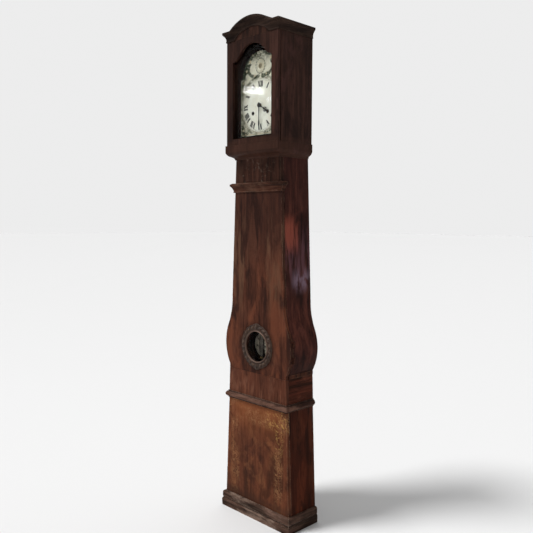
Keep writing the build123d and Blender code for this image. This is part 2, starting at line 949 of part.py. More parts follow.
with BuildPart() as oculus_pane:
    pane_front = trunk_front + clear
    add_rod(
        0, oculus_height, pane_front, pane_front + oculus_glass, oculus_radius + oculus_lap
    )

# ---------------------------------------------------------------- hinges of the trunk door
hinge_x = belly_half + hinge_knuckle
hinge_y = (door_back + side_front) / 2
knuckle_length = (hinge_leaf_length - clear) / 2


def belly_band(front, back):
    """Adds a strip that follows the outside of the right-hand belly."""
    with BuildSketch(facing(0, back, 0)) as band:
        with BuildLine():
            ThreePointArc((flank_half, flank_height), (belly_half, belly_height), (foot_half, belly_foot))
            Line((foot_half, belly_foot), (foot_half + hinge_leaf, belly_foot))
            ThreePointArc(
                (flank_half + hinge_leaf, flank_height),
                (belly_half + hinge_leaf, belly_height),
                (foot_half + hinge_leaf, belly_foot),
            )
            Line((flank_half + hinge_leaf, flank_height), (flank_half, flank_height))
        make_face()
    extrude(band.sketch, amount=back - front)


def hinge_leaves(fixed):
    """Adds the leaves of both hinges: the fixed ones hold the pins, the moving ones turn on them."""
    away = 1 if fixed else -1
    inner = hinge_y + away * (hinge_knuckle + clear)
    outer = inner + away * hinge_leaf_width
    belly_band(min(inner, outer), max(inner, outer))
    middles = [belly_height - hinge_spread, belly_height + hinge_spread]
    span = hinge_leaf_length / 2
    limits = [flank_height, middles[1] + span, middles[1] - span]
    limits += [middles[0] + span, middles[0] - span, belly_foot]
    for top, foot in zip(limits[0::2], limits[1::2]):
        add_box((0, -trunk_depth, foot), (2 * belly_half, back_y, top + 0.001), mode=Mode.SUBTRACT)
    for middle in middles:
        knuckle_foot = middle - span if fixed else middle + clear / 2
        web = sorted((hinge_y + away * 1.6, inner + away * 0.5))
        add_box((belly_half - 8, web[0], knuckle_foot), (hinge_x, web[1], knuckle_foot + knuckle_length))
        with Locations((hinge_x, hinge_y, knuckle_foot + knuckle_length / 2)):
            Cylinder(hinge_knuckle, knuckle_length)


with BuildPart() as trunk_hinge_fixed_leaves:
    hinge_leaves(True)
    for middle in (belly_height - hinge_spread, belly_height + hinge_spread):
        with Locations((hinge_x, hinge_y, middle)):
            Cylinder(hinge_pin, hinge_leaf_length)
    add(trunk_side_right.part, mode=Mode.SUBTRACT)

with BuildPart() as trunk_hinge_door_leaves:
    hinge_leaves(False)
    for middle in (belly_height - hinge_spread, belly_height + hinge_spread):
        with Locations((hinge_x, hinge_y, middle)):
            Cylinder(hinge_pin + running, hinge_leaf_length + 2, mode=Mode.SUBTRACT)
    add(trunk_door_panel.part, mode=Mode.SUBTRACT)

# ---------------------------------------------------------------- hook and stud of the trunk door
hook_x = -straight_half(hook_height - 2 * hook_reach) - clear
hook_tip = hook_x - hook_thickness

with BuildPart() as trunk_door_stud:
    with Locations(Location((stud_inner - stud_length / 2, stud_y, hook_height), (0, 90, 0))):
        Cylinder(stud_radius, stud_length)

with BuildPart() as trunk_hook:
    with BuildSketch(Plane.YZ.offset(hook_tip)) as hook_outline:
        with Locations((hook_y, hook_height - hook_reach / 2)):
            SlotCenterToCenter(hook_reach, hook_width, rotation=90)
        with Locations((hook_y, hook_height - hook_reach - hook_width / 4)):
            SlotOverall(1.6 * hook_width, 1.3 * hook_width)
        with Locations((hook_y - hook_width, hook_height - hook_reach)):
            Rectangle(2 * hook_width, 2 * (stud_radius + 2 * clear), mode=Mode.SUBTRACT)
        with Locations((hook_y, hook_height - hook_reach)):
            Circle(stud_radius + 2 * clear, mode=Mode.SUBTRACT)
    extrude(hook_outline.sketch, amount=hook_thickness)
    with Locations(Location((hook_tip + hook_pin_length / 2, hook_y, hook_height), (0, 90, 0))):
        Cylinder(hook_pin, hook_pin_length)

# ================================================================ head door
door_low = floor_top + door_gap
door_high = ear_height - door_gap
pivot_x = head_half - head_door_thickness / 2
pivot_y = head_front + head_door_thickness / 2
head_door_back = head_front + head_door_thickness
bend_height = window_ear + (window_apex - window_ear) * 0.31


def window(grow):
    """Outline of the window: square below, and a stepped arch above, grown outwards on all sides."""
    half = window_half + grow
    bend = (window_bend, bend_height + grow)
    crown = (window_bend * 0.53, window_apex - (window_apex - bend_height) * 0.26 + grow)
    with BuildSketch(facing(0, head_door_back, 0)) as opening:
        with BuildLine():
            for side in (-1, 1):
                corner = (side * half, window_low - grow)
                Polyline((0, window_low - grow), corner, (side * half, window_ear + grow))
                TangentArc((side * half, window_ear + grow), (side * bend[0], bend[1]), tangent=(-side, 0))
                shoulder = (side * bend[0], bend[1])
                ThreePointArc(shoulder, (side * crown[0], crown[1]), (0, window_apex + grow))
        make_face()
    return opening.sketch


with BuildPart() as head_door_frame:
    add_box((-head_half, head_front, door_low), (head_half, head_door_back, door_high))
    corner = head_door_frame.edges().filter_by(Axis.Z).sort_by(Axis.Y)[-2:].sort_by(Axis.X)[-1]
    fillet(corner, pivot_corner)
    extrude(window(0), amount=head_door_thickness, mode=Mode.SUBTRACT)
    extrude(window(glass_lap), amount=head_door_thickness - glass_depth, mode=Mode.SUBTRACT)
    for side in (-1, 1):
        joint = side * window_half
        for low, high in ((door_low, window_low + 1), (window_ear - 1, door_high)):
            near_corner = (joint - wood_gap / 2, head_front - 1, low)
            far_corner = (joint + wood_gap / 2, head_door_back + 1, high)
            add_box(near_corner, far_corner, mode=Mode.SUBTRACT)
    for height in (door_low, door_high):
        with Locations((pivot_x, pivot_y, height)):
            Cylinder(pivot_radius + running, 2 * (pivot_depth + clear), mode=Mode.SUBTRACT)

with BuildPart() as head_door_glass:
    extrude(window(glass_lap - clear), amount=glass_thickness)

with BuildPart() as head_door_pivots:
    for height in (floor_top, ear_height):
        with Locations((pivot_x, pivot_y, height)):
            Cylinder(pivot_radius, 2 * pivot_depth - 1)

# ================================================================ dial and posts
dial_front = head_front + dial_setback
dial_back = dial_front + dial_thickness
winding_height = dial_height - winding_drop
post_x = cage_half - pillar / 2
hour_hand_front = dial_front - hour_hand_clearance
minute_hand_front = dial_front - minute_hand_clearance

with BuildPart() as dial_plate:
    with BuildSketch(facing(0, dial_back, 0)) as dial_outline:
        with BuildLine():
            shoulder = math.sqrt(dial_arch**2 - (dial_shoulder - dial_arch_centre) ** 2)
            Polyline(
                (-shoulder, dial_shoulder),
                (-dial_half, dial_shoulder),
                (-dial_half, dial_low),
                (dial_half, dial_low),
                (dial_half, dial_shoulder),
                (shoulder, dial_shoulder),
            )
            ThreePointArc(
                (shoulder, dial_shoulder), (0, dial_arch_centre + dial_arch), (-shoulder, dial_shoulder)
            )
        make_face()
        with Locations((0, dial_height)):
            Circle(dial_hole, mode=Mode.SUBTRACT)
        with Locations((-winding_x, winding_height), (winding_x, winding_height)):
            Circle(winding_hole, mode=Mode.SUBTRACT)
    extrude(dial_outline.sketch, amount=dial_thickness)

with BuildPart() as dial_posts:
    for height in post_heights:
        for side in (-1, 1):
            add_rod(side * post_x, height, dial_back, cage_front, post_radius)

# ================================================================ movement cage
cage_bottom = seat_top
cage_top = cage_bottom + cage_height
hands_arbor = (0, dial_height)
third_arbor = (0, dial_height + (centre_teeth + third_leaves) * train_module / 2)
escape_arbor = (0, third_arbor[1] + (third_teeth + escape_leaves) * train_module / 2)
anchor_arbor = (0, escape_arbor[1] + anchor_distance)
going_arbor = (winding_x, winding_height)
strike_arbor = (-winding_x, winding_height)
great_distance = math.hypot(winding_x, winding_drop)
second_arbor = (-winding_x, winding_height + great_distance)
fly_arbor = (-winding_x, second_arbor[1] + (centre_teeth + third_leaves) * train_module / 2)
minute_stud = (0, dial_height - (cannon_teeth + minute_teeth) * train_module / 2)
hammer_arbor = (hammer_x, hammer_height)
back_bar = cage_back - plate
arbors_front = [hands_arbor, third_arbor, escape_arbor, anchor_arbor, second_arbor, fly_arbor, hammer_arbor]
barrel_arbors = [going_arbor, strike_arbor]

with BuildPart() as movement_plates:
    for low in (cage_bottom, cage_top):
        add_box((-cage_half, cage_front, low), (cage_half, cage_back, low + plate))
    rope_x = winding_x + barrel_radius + rope_radius + clear
    weight_y = drum_front + barrel_length / 2
    for side in (-1, 1):
        with Locations((side * rope_x, weight_y, cage_bottom + plate / 2)):
            Cylinder(rope_hole, 2 * plate, mode=Mode.SUBTRACT)
    with Locations((hammer_x - hammer_slot / 2 + hammer_arm, bell_y, cage_top + plate / 2)):
        Box(hammer_slot, 3 * hammer_arm, 2 * plate, mode=Mode.SUBTRACT)

with BuildPart() as movement_frame:
    for x in (-post_x, post_x):
        for y in (cage_front + pillar / 2, cage_back - pillar / 2):
            with Locations((x, y, (cage_bottom + plate + cage_top) / 2)):
                Box(pillar, pillar, cage_top - cage_bottom - plate)
    for x in (hammer_x, -winding_x, 0, winding_x):
        for low in (cage_front, back_bar):
            bar_end = (x + bar_width / 2, low + plate, cage_top)
            add_box((x - bar_width / 2, low, cage_bottom + plate), bar_end)
    for x, z in arbors_front:
        add_rod(x, z, cage_front - 1, cage_back + 1, arbor_radius + running, mode=Mode.SUBTRACT)
    for x, z in barrel_arbors:
        add_rod(x, z, cage_front - 1, cage_back + 1, barrel_arbor + running, mode=Mode.SUBTRACT)
    add_rod(*minute_stud, minute_front - 0.5, cage_front, stud_arbor)

# ================================================================ train, from the barrels to the anchor
def mesh_angle(driver, driven):
    """Direction in degrees from one arbor to another, seen from the front."""
    return math.degrees(math.atan2(driven[1] - driver[1], driven[0] - driver[0]))


def train_wheel(arbor, front, thickness, teeth, module, gap_angle, hub, rim):
    """Adds a wheel with four spokes whose teeth leave a gap at one angle, where the pinion meshes."""
    pitch = teeth * module / 2
    points = tooth_points(teeth, pitch, module, tooth_share, gap_angle + 180 / teeth)
    add_wheel(*arbor, front, thickness, points)
    add_crossings(*arbor, front, thickness, hub + 2, pitch - rim)


def small_wheel(arbor, front, teeth):
    """Adds a thin wheel of the train with one tooth pointing straight up."""
    train_wheel(arbor, front, wheel_thickness, teeth, train_module, 90, wheel_hub, wheel_rim)


great_module = 2 * great_distance / (great_teeth + centre_leaves)
great_pinion = centre_leaves * great_module / 2
small_pinion = third_leaves * train_module / 2

for_going = mesh_angle(going_arbor, hands_arbor)
with BuildPart() as going_great_wheel:
    train_wheel(
        going_arbor,
        going_great_front,
        great_thickness,
        great_teeth,
        great_module,
        for_going,
        great_hub,
        great_rim,
    )
    add_rod(*going_arbor, going_great_front - hub_reach, drum_front - drum_gap, great_hub)
    add_rod(*going_arbor, cage_front, cage_back, barrel_arbor + running, mode=Mode.SUBTRACT)

with BuildPart() as strike_great_wheel:
    train_wheel(
        strike_arbor,
        strike_great_front,
        great_thickness,
        great_teeth,
        great_module,
        90,
        great_hub,
        great_rim,
    )
    add_rod(*strike_arbor, strike_great_front - hub_reach, drum_front - drum_gap, great_hub)
    add_rod(*strike_arbor, cage_front, cage_back, barrel_arbor + running, mode=Mode.SUBTRACT)
    for pin in range(lift_pins):
        turn = math.radians(lift_phase + pin * 360 / lift_pins)
        x = strike_arbor[0] + lift_circle * math.cos(turn)
        z = strike_arbor[1] + lift_circle * math.sin(turn)
        add_rod(x, z, strike_great_front - hub_reach, strike_great_front, lift_pin)


def barrel(arbor):
    """Adds a rope drum between two flanges, on an arbor that ends in a winding square."""
    drum_back = drum_front + barrel_length
    add_rod(*arbor, drum_front, drum_back, barrel_radius)
    for front in (drum_front, drum_back - flange):
        add_rod(*arbor, front, front + flange, flange_radius)
    add_rod(*arbor, cage_front - square_shoulder, cage_back, barrel_arbor)
    with Locations((arbor[0], (dial_back + square_gap + cage_front) / 2, arbor[1])):
        Box(winding_square, cage_front - dial_back - square_gap, winding_square)


with BuildPart() as going_barrel:
    barrel(going_arbor)

with BuildPart() as strike_barrel:
    barrel(strike_arbor)

with BuildPart() as centre_wheel:
    small_wheel(hands_arbor, centre_front, centre_teeth)
    add_rod(*hands_arbor, minute_hand_front - nub_reach, cage_back, arbor_radius)
    add_rod(*hands_arbor, centre_front - hub_reach, centre_front, wheel_hub)
    lantern_front = going_great_front + great_thickness / 2 - pinion_length / 2
    add_lantern(*hands_arbor, lantern_front, lantern_front + pinion_length, centre_leaves, great_pinion,
                for_going + 180)
    cannon_pitch = cannon_teeth * train_module / 2
    cannon_points = tooth_points(cannon_teeth, cannon_pitch, train_module, tooth_share, pinion_phase)
    add_wheel(*hands_arbor, cannon_front, wheel_thickness, cannon_points)

with BuildPart() as third_wheel:
    small_wheel(third_arbor, third_front, third_teeth)
    add_rod(*third_arbor, cage_front, cage_back, arbor_radius)
    add_rod(*third_arbor, third_front - 2, third_front, wheel_hub)
    lantern_front = centre_front + wheel_thickness / 2 - pinion_length / 2
    lantern_back = lantern_front + pinion_length
    add_lantern(*third_arbor, lantern_front, lantern_back, third_leaves, small_pinion, pinion_phase)

with BuildPart() as escape_wheel:
    lantern_front = third_front + wheel_thickness / 2 - escape_pinion / 2
    lantern_back = lantern_front + escape_pinion
    add_lantern(*escape_arbor, lantern_front, lantern_back, escape_leaves, small_pinion, pinion_phase)
    add_rod(*escape_arbor, cage_front, cage_back, arbor_radius)
    escape_root = escape_radius - escape_tooth
    points = []
    for tooth in range(escape_teeth):
        start = 2 * math.pi * tooth / escape_teeth
        for radius, share in ((escape_root, -0.1), (escape_radius, -0.22), (escape_root, 0.25)):
            turn = start + share * 2 * math.pi / escape_teeth
            points.append((radius * math.cos(turn), radius * math.sin(turn)))
    add_wheel(*escape_arbor, escape_front, escape_thickness, points)
    escape_rim = escape_radius - escape_band
    add_crossings(
        *escape_arbor,
        escape_front,
        escape_thickness,
        wheel_hub,
        escape_rim,
        spoke_width=escape_spoke,
    )

with BuildPart() as anchor:
    add_rod(*anchor_arbor, cage_front - crutch_gap - crutch_thickness, cage_back, arbor_radius)
    reach = escape_radius + pallet_gap
    for side in (-1, 1):
        turn = math.radians(pallet_angle)
        pallet = (side * reach * math.sin(turn), escape_arbor[1] + reach * math.cos(turn))
        outward = (pallet[0] + side * 5, pallet[1] + 3)
        add_plate(
            [(0, anchor_arbor[1] + 6), (0, anchor_arbor[1] - 3), pallet, outward],
            anchor_front,
            anchor_front + wheel_thickness,
        )
    crutch_front = cage_front - crutch_gap - crutch_thickness
    add_box(
        (-arbor_radius, crutch_front, anchor_arbor[1] - crutch_length),
        (arbor_radius, cage_front - crutch_gap, anchor_arbor[1]),
    )
    add_rod(0, anchor_arbor[1] - crutch_length + arbor_radius, pendulum_y - 3, crutch_front, crutch_pin)

# ---------------------------------------------------------------- motion work and hands
with BuildPart() as minute_wheel:
    minute_phase = 90 + 180 / minute_teeth
    minute_pitch = minute_teeth * train_module / 2
    points = tooth_points(minute_teeth, minute_pitch, train_module, tooth_share, minute_phase)
    add_wheel(*minute_stud, cannon_front, wheel_thickness, points)
    add_crossings(*minute_stud, cannon_front, wheel_thickness, wheel_hub, minute_rim)
    hour_module = (cannon_teeth + minute_teeth) * train_module / (minute_leaves + hour_teeth)
    leaves = tooth_points(minute_leaves, minute_leaves * hour_module / 2, hour_module, tooth_share, 90)
    add_wheel(*minute_stud, minute_front, cannon_front - minute_front, leaves)
    add_rod(*minute_stud, minute_front - 1, cage_front, stud_arbor + running, mode=Mode.SUBTRACT)

with BuildPart() as hour_wheel:
    hour_phase = pinion_phase + 180 / hour_teeth
    hour_front = minute_front + wheel_play
    points = tooth_points(hour_teeth, hour_teeth * hour_module / 2, hour_module, tooth_share, hour_phase)
    add_wheel(*hands_arbor, hour_front, wheel_thickness - wheel_play, points)
    add_crossings(*hands_arbor, hour_front, wheel_thickness - wheel_play, hour_hub, hour_rim)
    add_rod(*hands_arbor, hour_hand_front - wheel_play, hour_front, hour_pipe)
    add_rod(*hands_arbor, hour_hand_front - 1, cage_front, arbor_radius + running, mode=Mode.SUBTRACT)

# A clock hand is a flat plate: a tapered stem from a round hub, with an ornament and a point.
def hand_place(angle, along, across=0.0):
    """Point in X and Z at a distance along a hand that points clockwise from twelve by an angle."""
    turn = math.radians(angle)
    x = along * math.sin(turn) + across * math.cos(turn)
    z = along * math.cos(turn) - across * math.sin(turn)
    return x, dial_height + z


with BuildPart() as hour_hand:
    hand_back = hour_hand_front + hand_thickness
    stem = [(0, 3), (0.5, 1.6), (0.5, -1.6), (0, -3)]
    add_rod(*hands_arbor, hour_hand_front, hand_back, hour_pipe + hour_hand_lip)
    stem_points = [hand_place(hour_hand_angle, share * hour_hand_length, across) for share, across in stem]
    add_plate(stem_points, hour_hand_front, hand_back)
    spade = [(0.42, 1.2), (0.55, 9), (0.68, 11), (0.78, 5), (0.82, 2), (1.0, 0.4)]
    spade += [(share, -across) for share, across in reversed(spade)]
    spade_points = []
    for share, across in spade:
        spade_points.append(hand_place(hour_hand_angle, share * hour_hand_length, across))
    add_plate(spade_points, hour_hand_front, hand_back)
    for share, radius in ((0.56, 2.6), (0.68, 2.2)):
        for across in (-1, 1):
            place = hand_place(hour_hand_angle, share * hour_hand_length, across * spade_eye)
            add_rod(*place, hour_hand_front - 1, hand_back + 1, radius, mode=Mode.SUBTRACT)
    add_rod(*hands_arbor, hour_hand_front - 1, hand_back + 1, hour_pipe + pin_fit, mode=Mode.SUBTRACT)

with BuildPart() as minute_hand:
    hand_back = minute_hand_front + hand_thickness
    add_rod(*hands_arbor, minute_hand_front, hand_back, minute_hand_hub)
    blade = [(-0.12, 1.5), (0.0, 2.4), (0.3, 1.3), (0.42, 3.6), (0.5, 1.3), (0.9, 1.0), (1.0, 0.3)]
    blade += [(share, -across) for share, across in reversed(blade)]
    blade_points = []
    for share, across in blade:
        blade_points.append(hand_place(minute_hand_angle, share * minute_hand_length, across))
    add_plate(blade_points, minute_hand_front, hand_back)
    add_rod(*hands_arbor, minute_hand_front - 1, hand_back + 1, arbor_radius + pin_fit, mode=Mode.SUBTRACT)

# ================================================================ strike train
with BuildPart() as strike_second_wheel:
    small_wheel(second_arbor, second_front, centre_teeth)
    add_rod(*second_arbor, cage_front, cage_back, arbor_radius)
    lantern_front = strike_great_front + great_thickness / 2 - pinion_length / 2
    lantern_back = lantern_front + pinion_length
    add_lantern(*second_arbor, lantern_front, lantern_back, centre_leaves, great_pinion, pinion_phase)

with BuildPart() as strike_fly:
    add_rod(*fly_arbor, cage_front, cage_back, arbor_radius)
    lantern_front = second_front + wheel_thickness / 2 - escape_pinion / 2
    lantern_back = lantern_front + escape_pinion
    add_lantern(*fly_arbor, lantern_front, lantern_back, third_leaves, small_pinion, pinion_phase)
    blade_low = (fly_arbor[0] - fly_reach, fly_front, fly_arbor[1] - fly_thickness / 2)
    blade_high = (fly_arbor[0] + fly_reach, fly_front + fly_length, fly_arbor[1] + fly_thickness / 2)
    add_box(blade_low, blade_high)

with BuildPart() as hammer:
    head_height = cage_top + plate + bell_lift + hammer_head
    head_x = -bell_radius - hammer_gap - hammer_head
    add_rod(*hammer_arbor, cage_front, cage_back, arbor_radius)
    arm = hammer_arm / 2
    arm_top = (hammer_x + arm, bell_y + arm, head_height + arm)
    add_box((hammer_x - arm, bell_y - arm, hammer_height), arm_top)
    add_box((hammer_x, bell_y - arm, head_height - arm), (head_x, bell_y + arm, head_height + arm))
    with Locations(Location((head_x, bell_y, head_height), (0, 90, 0))):
        Cylinder(hammer_head, 2 * hammer_head)
    tail = strike_great_front - hub_reach
    add_plate(
        [
            (hammer_x - 3, hammer_height + 3),
            (hammer_x + 3, hammer_height + 3),
            (hammer_x + tail_reach, hammer_height - tail_drop),
            (hammer_x + tail_reach - 4, hammer_height - tail_drop - 2),
        ],
        tail,
        tail + 2.5,
    )

with BuildPart() as bell:
    with BuildSketch(Plane.XZ.offset(-bell_y)) as bell_section:
        crown = cage_top + plate + bell_lift + bell_height
        with BuildLine():
            ThreePointArc(
                (bell_radius, crown - bell_height),
                (bell_radius * 0.8, crown - bell_height * 0.3),
                (bell_flat, crown),
            )
            Polyline((bell_flat, crown), (bell_crown, crown), (bell_crown, crown - bell_wall))
            Line((bell_crown, crown - bell_wall), (bell_flat, crown - bell_wall))
            ThreePointArc(
                (bell_flat, crown - bell_wall),
                (bell_radius * 0.8 - bell_wall, crown - bell_height * 0.3 - bell_wall / 2),
                (bell_radius - bell_wall, crown - bell_height),
            )
            Line((bell_radius - bell_wall, crown - bell_height), (bell_radius, crown - bell_height))
        make_face()
    revolve(bell_section.sketch, axis=Axis((0, bell_y, 0), (0, 0, 1)))

with BuildPart() as bell_stand:
    foot = cage_top + plate
    with BuildSketch(Plane.XZ.offset(-bell_y)) as stand_section:
        with BuildLine():
            Polyline(
                (0, foot),
                (12, foot),
                (12, foot + 3),
                (5, foot + 7),
                (5, crown - bell_wall - 4),
                (9, crown - bell_wall - 3),
                (9, crown - bell_wall),
                (bell_crown - pin_fit, crown - bell_wall),
                (bell_crown - pin_fit, crown),
                (8, crown),
                (8, crown + 5),
                (0, crown + 9),
                close=True,
            )
        make_face()
    revolve(stand_section.sketch, axis=Axis((0, bell_y, 0), (0, 0, 1)))

# ================================================================ ropes and weights
def weight(side):
    """Adds a cast weight with a wire eye on top, hanging under its barrel."""
    middle = weight_rest + weight_height / 2
    with Locations((side * rope_x, weight_y, middle)):
        Cylinder(weight_radius, weight_height)
    rims = edges().filter_by(GeomType.CIRCLE)
    fillet(rims, weight_rim)
    with Locations(Location((side * rope_x, weight_y, eye_height), (0, 90, 0))):
        Torus(weight_eye, weight_wire)


def rope(side):
    """Adds the straight fall of rope from the barrel down to the eye of the weight."""
    low = eye_height + weight_eye + weight_wire + clear
    with Locations((side * rope_x, weight_y, (low + winding_height) / 2)):
        Cylinder(rope_radius, winding_height - low)


eye_height = weight_rest + weight_height + weight_eye - weight_wire

with BuildPart() as going_weight:
    weight(1)

with BuildPart() as strike_weight:
    weight(-1)

with BuildPart() as going_rope:
    rope(1)

with BuildPart() as strike_rope:
    rope(-1)

# ================================================================ pendulum
bob_height = oculus_height + bob_rise
bob_y = pendulum_y + bob_setback
rod_front = pendulum_y - rod_thickness / 2
rod_back = pendulum_y + rod_thickness / 2
rod_top = dial_height - stirrup_radius - stirrup_width / 2
rod_foot = bob_height - bob_radius + 4
nut_top = bob_height - bob_radius - clear

with BuildPart() as pendulum_rod:
    with BuildSketch(facing(0, rod_back, 0)) as strip:
        with Locations((0, anchor_arbor[1])):
            Circle(eye_radius)
        with Locations((0, (anchor_arbor[1] + dial_height + stirrup_radius) / 2)):
            Rectangle(strip_width, anchor_arbor[1] - dial_height - stirrup_radius)
        with Locations((0, dial_height)):
            Circle(stirrup_radius + stirrup_width)
            Circle(stirrup_radius, mode=Mode.SUBTRACT)
        with Locations((0, (rod_top + rod_foot) / 2)):
            Rectangle(rod_width, rod_top - rod_foot)
        with Locations((0, anchor_arbor[1])):
            Circle(suspension_pin + running, mode=Mode.SUBTRACT)
        with Locations((0, anchor_arbor[1] - crutch_length + arbor_radius)):
            Circle(crutch_pin + clear, mode=Mode.SUBTRACT)
    extrude(strip.sketch, amount=rod_thickness)
    with Locations((0, pendulum_y, (nut_top - 3 * nut_height + rod_foot) / 2)):
        Cylinder(rod_thread, rod_foot - nut_top + 3 * nut_height)

with BuildPart() as pendulum_bob:
    with BuildSketch(Plane.YZ) as lens:
        rim = (bob_y, bob_height + bob_radius)
        with BuildLine():
            TangentArc((bob_y - bob_thickness / 2, bob_height), rim, tangent=(0, 1))
            TangentArc((bob_y + bob_thickness / 2, bob_height), rim, tangent=(0, 1))
            Line((bob_y - bob_thickness / 2, bob_height), (bob_y + bob_thickness / 2, bob_height))
        make_face()
    revolve(lens.sketch, axis=Axis((0, 0, bob_height), (0, 1, 0)))
    channel = rod_width / 2 + clear
    add_box(
        (-channel, rod_front - bob_thickness, bob_height - 2 * bob_radius),
        (channel, rod_back + clear, bob_height + 2 * bob_radius),
        mode=Mode.SUBTRACT,
    )

with BuildPart() as rating_nut:
    with BuildSketch(Plane.XY.offset(nut_top - nut_height)):
        with Locations((0, pendulum_y)):
            RegularPolygon(nut_radius, 6)
            Circle(rod_thread + pin_fit, mode=Mode.SUBTRACT)
    extrude(amount=nut_height)

# The cock reaches forward over the crutch and holds the pin that the pendulum hangs from.
with BuildPart() as suspension_cock:
    cheek_front = rod_front - clear - cock_thickness
    cock_low = anchor_arbor[1] + eye_radius + 1
    cock_top = cage_top + plate + cock_thickness
    add_box((-cock_half, cheek_front, cock_low), (cock_half, cage_front, cock_low + cock_thickness))
    add_box((-cock_half, cheek_front, anchor_arbor[1] - 6), (cock_half, rod_front - clear, cock_low + 1))
    add_box((-cock_half, cage_front - cock_thickness, cock_low), (cock_half, cage_front, cock_top))
    cock_end = (cock_half, cage_front + pillar, cock_top)
    add_box((-cock_half, cage_front - cock_thickness, cage_top + plate), cock_end)
    add_rod(0, anchor_arbor[1], cheek_front, rod_back + crutch_gap, suspension_pin)

# ================================================================ groups of like pieces
with BuildPart() as cornice:
    add(cornice_returns.part)
    add(cornice_front.part)
    add(tympanum.part)

with BuildPart() as head_base_moulding:
    add(ogee_front.part)
    add(ogee_returns.part)

pieces = {
    "base_front": base_front,
    "base_sides": base_sides,
    "base_floor": base_floor,
    "plinth_moulding": plinth_moulding,
    "waist_moulding": waist_moulding,
    "lower_front": lower_front,
    "lower_sides": lower_sides,
    "belly_rails": belly_rails,
    "trunk_side_left": trunk_side_left,
    "trunk_side_right": trunk_side_right,
    "neck_front": neck_front,
    "back_boards": back_boards,
    "head_floor": head_floor,
    "head_side_left": head_side_left,
    "head_side_right": head_side_right,
    "head_roof": head_roof,
    "cornice": cornice,
    "head_base_moulding": head_base_moulding,
    "seat_rails": seat_rails,
    "trunk_door_panel": trunk_door_panel,
    "trunk_door_cornice": trunk_door_cornice,
    "oculus_bezel": oculus_bezel,
    "oculus_glass": oculus_pane,
    "trunk_hinge_fixed_leaves": trunk_hinge_fixed_leaves,
    "trunk_hinge_door_leaves": trunk_hinge_door_leaves,
    "trunk_door_stud": trunk_door_stud,
    "trunk_hook": trunk_hook,
    "head_door_frame": head_door_frame,
    "head_door_glass": head_door_glass,
    "head_door_pivots": head_door_pivots,
    "dial_plate": dial_plate,
    "dial_posts": dial_posts,
    "movement_plates": movement_plates,
    "movement_frame": movement_frame,
    "going_great_wheel": going_great_wheel,
    "going_barrel": going_barrel,
    "centre_wheel": centre_wheel,
    "third_wheel": third_wheel,
    "escape_wheel": escape_wheel,
    "anchor": anchor,
    "minute_wheel": minute_wheel,
    "hour_wheel": hour_wheel,
    "hour_hand": hour_hand,
    "minute_hand": minute_hand,
    "strike_great_wheel": strike_great_wheel,
    "strike_barrel": strike_barrel,
    "strike_second_wheel": strike_second_wheel,
    "strike_fly": strike_fly,
    "hammer": hammer,
    "bell": bell,
    "bell_stand": bell_stand,
    "going_rope": going_rope,
    "going_weight": going_weight,
    "strike_rope": strike_rope,
    "strike_weight": strike_weight,
    "suspension_cock": suspension_cock,
    "pendulum_rod": pendulum_rod,
    "pendulum_bob": pendulum_bob,
    "rating_nut": rating_nut,
}

for name, piece in pieces.items():
    piece.part.label = name
    export_step(piece.part, f"parts/{name}.step")
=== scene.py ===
"""A violin-shaped longcase clock with worn, stained wood, a painted arched dial and an embossed oculus ring.

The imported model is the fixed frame. This script gives every piece its finish, and adds the relief of the
oculus ring, the painting of the dial, a finer minute hand and the laid ropes.
"""

import json
import math
import random

import bmesh
import bpy
from mathutils import Matrix, Vector


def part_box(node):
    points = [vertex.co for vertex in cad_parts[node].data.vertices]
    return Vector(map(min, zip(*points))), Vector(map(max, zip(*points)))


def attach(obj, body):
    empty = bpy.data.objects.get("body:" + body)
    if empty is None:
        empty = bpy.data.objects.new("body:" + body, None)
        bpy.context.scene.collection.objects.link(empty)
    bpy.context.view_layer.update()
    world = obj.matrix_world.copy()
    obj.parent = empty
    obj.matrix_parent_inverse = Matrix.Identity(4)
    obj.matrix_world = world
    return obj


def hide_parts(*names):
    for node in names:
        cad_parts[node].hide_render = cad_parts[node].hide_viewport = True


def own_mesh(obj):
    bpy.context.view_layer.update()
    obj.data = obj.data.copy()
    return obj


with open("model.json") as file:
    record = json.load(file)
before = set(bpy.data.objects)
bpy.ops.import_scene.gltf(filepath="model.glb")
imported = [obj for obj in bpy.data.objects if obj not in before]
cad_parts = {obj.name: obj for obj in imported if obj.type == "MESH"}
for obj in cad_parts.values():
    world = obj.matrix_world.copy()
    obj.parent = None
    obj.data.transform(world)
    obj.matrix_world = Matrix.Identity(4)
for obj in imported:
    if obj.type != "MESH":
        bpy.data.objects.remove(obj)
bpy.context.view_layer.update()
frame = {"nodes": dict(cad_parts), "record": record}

# ---- places read from the frame, in metres
head_low, head_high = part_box("head_door_frame")
door_low, door_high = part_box("trunk_door_panel")
waist_low, waist_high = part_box("waist_moulding")
bezel_low, bezel_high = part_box("oculus_bezel")
pane_low, pane_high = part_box("oculus_glass")
dial_low, dial_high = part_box("dial_plate")
hands_low, hands_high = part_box("hour_wheel")
base_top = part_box("base_front")[1][2]
trunk_front = door_low[1]
dial_face = dial_low[1]
dial_centre = (hands_low[2] + hands_high[2]) / 2
oculus_height = (pane_low[2] + pane_high[2]) / 2
bezel_outer = bezel_high[0]
pane_lap = 0.004
bezel_inner = pane_high[0] - pane_lap

# ---- camera
camera_place = Vector((2.0506, -2.0130, 1.3611))
camera_forward = Vector((-0.71205, 0.69850, -0.07127))
camera_right = Vector((0.69998, 0.71414, 0.00560))
camera_lens = 42.97
camera_reach = 200
sensor_width = 36.0

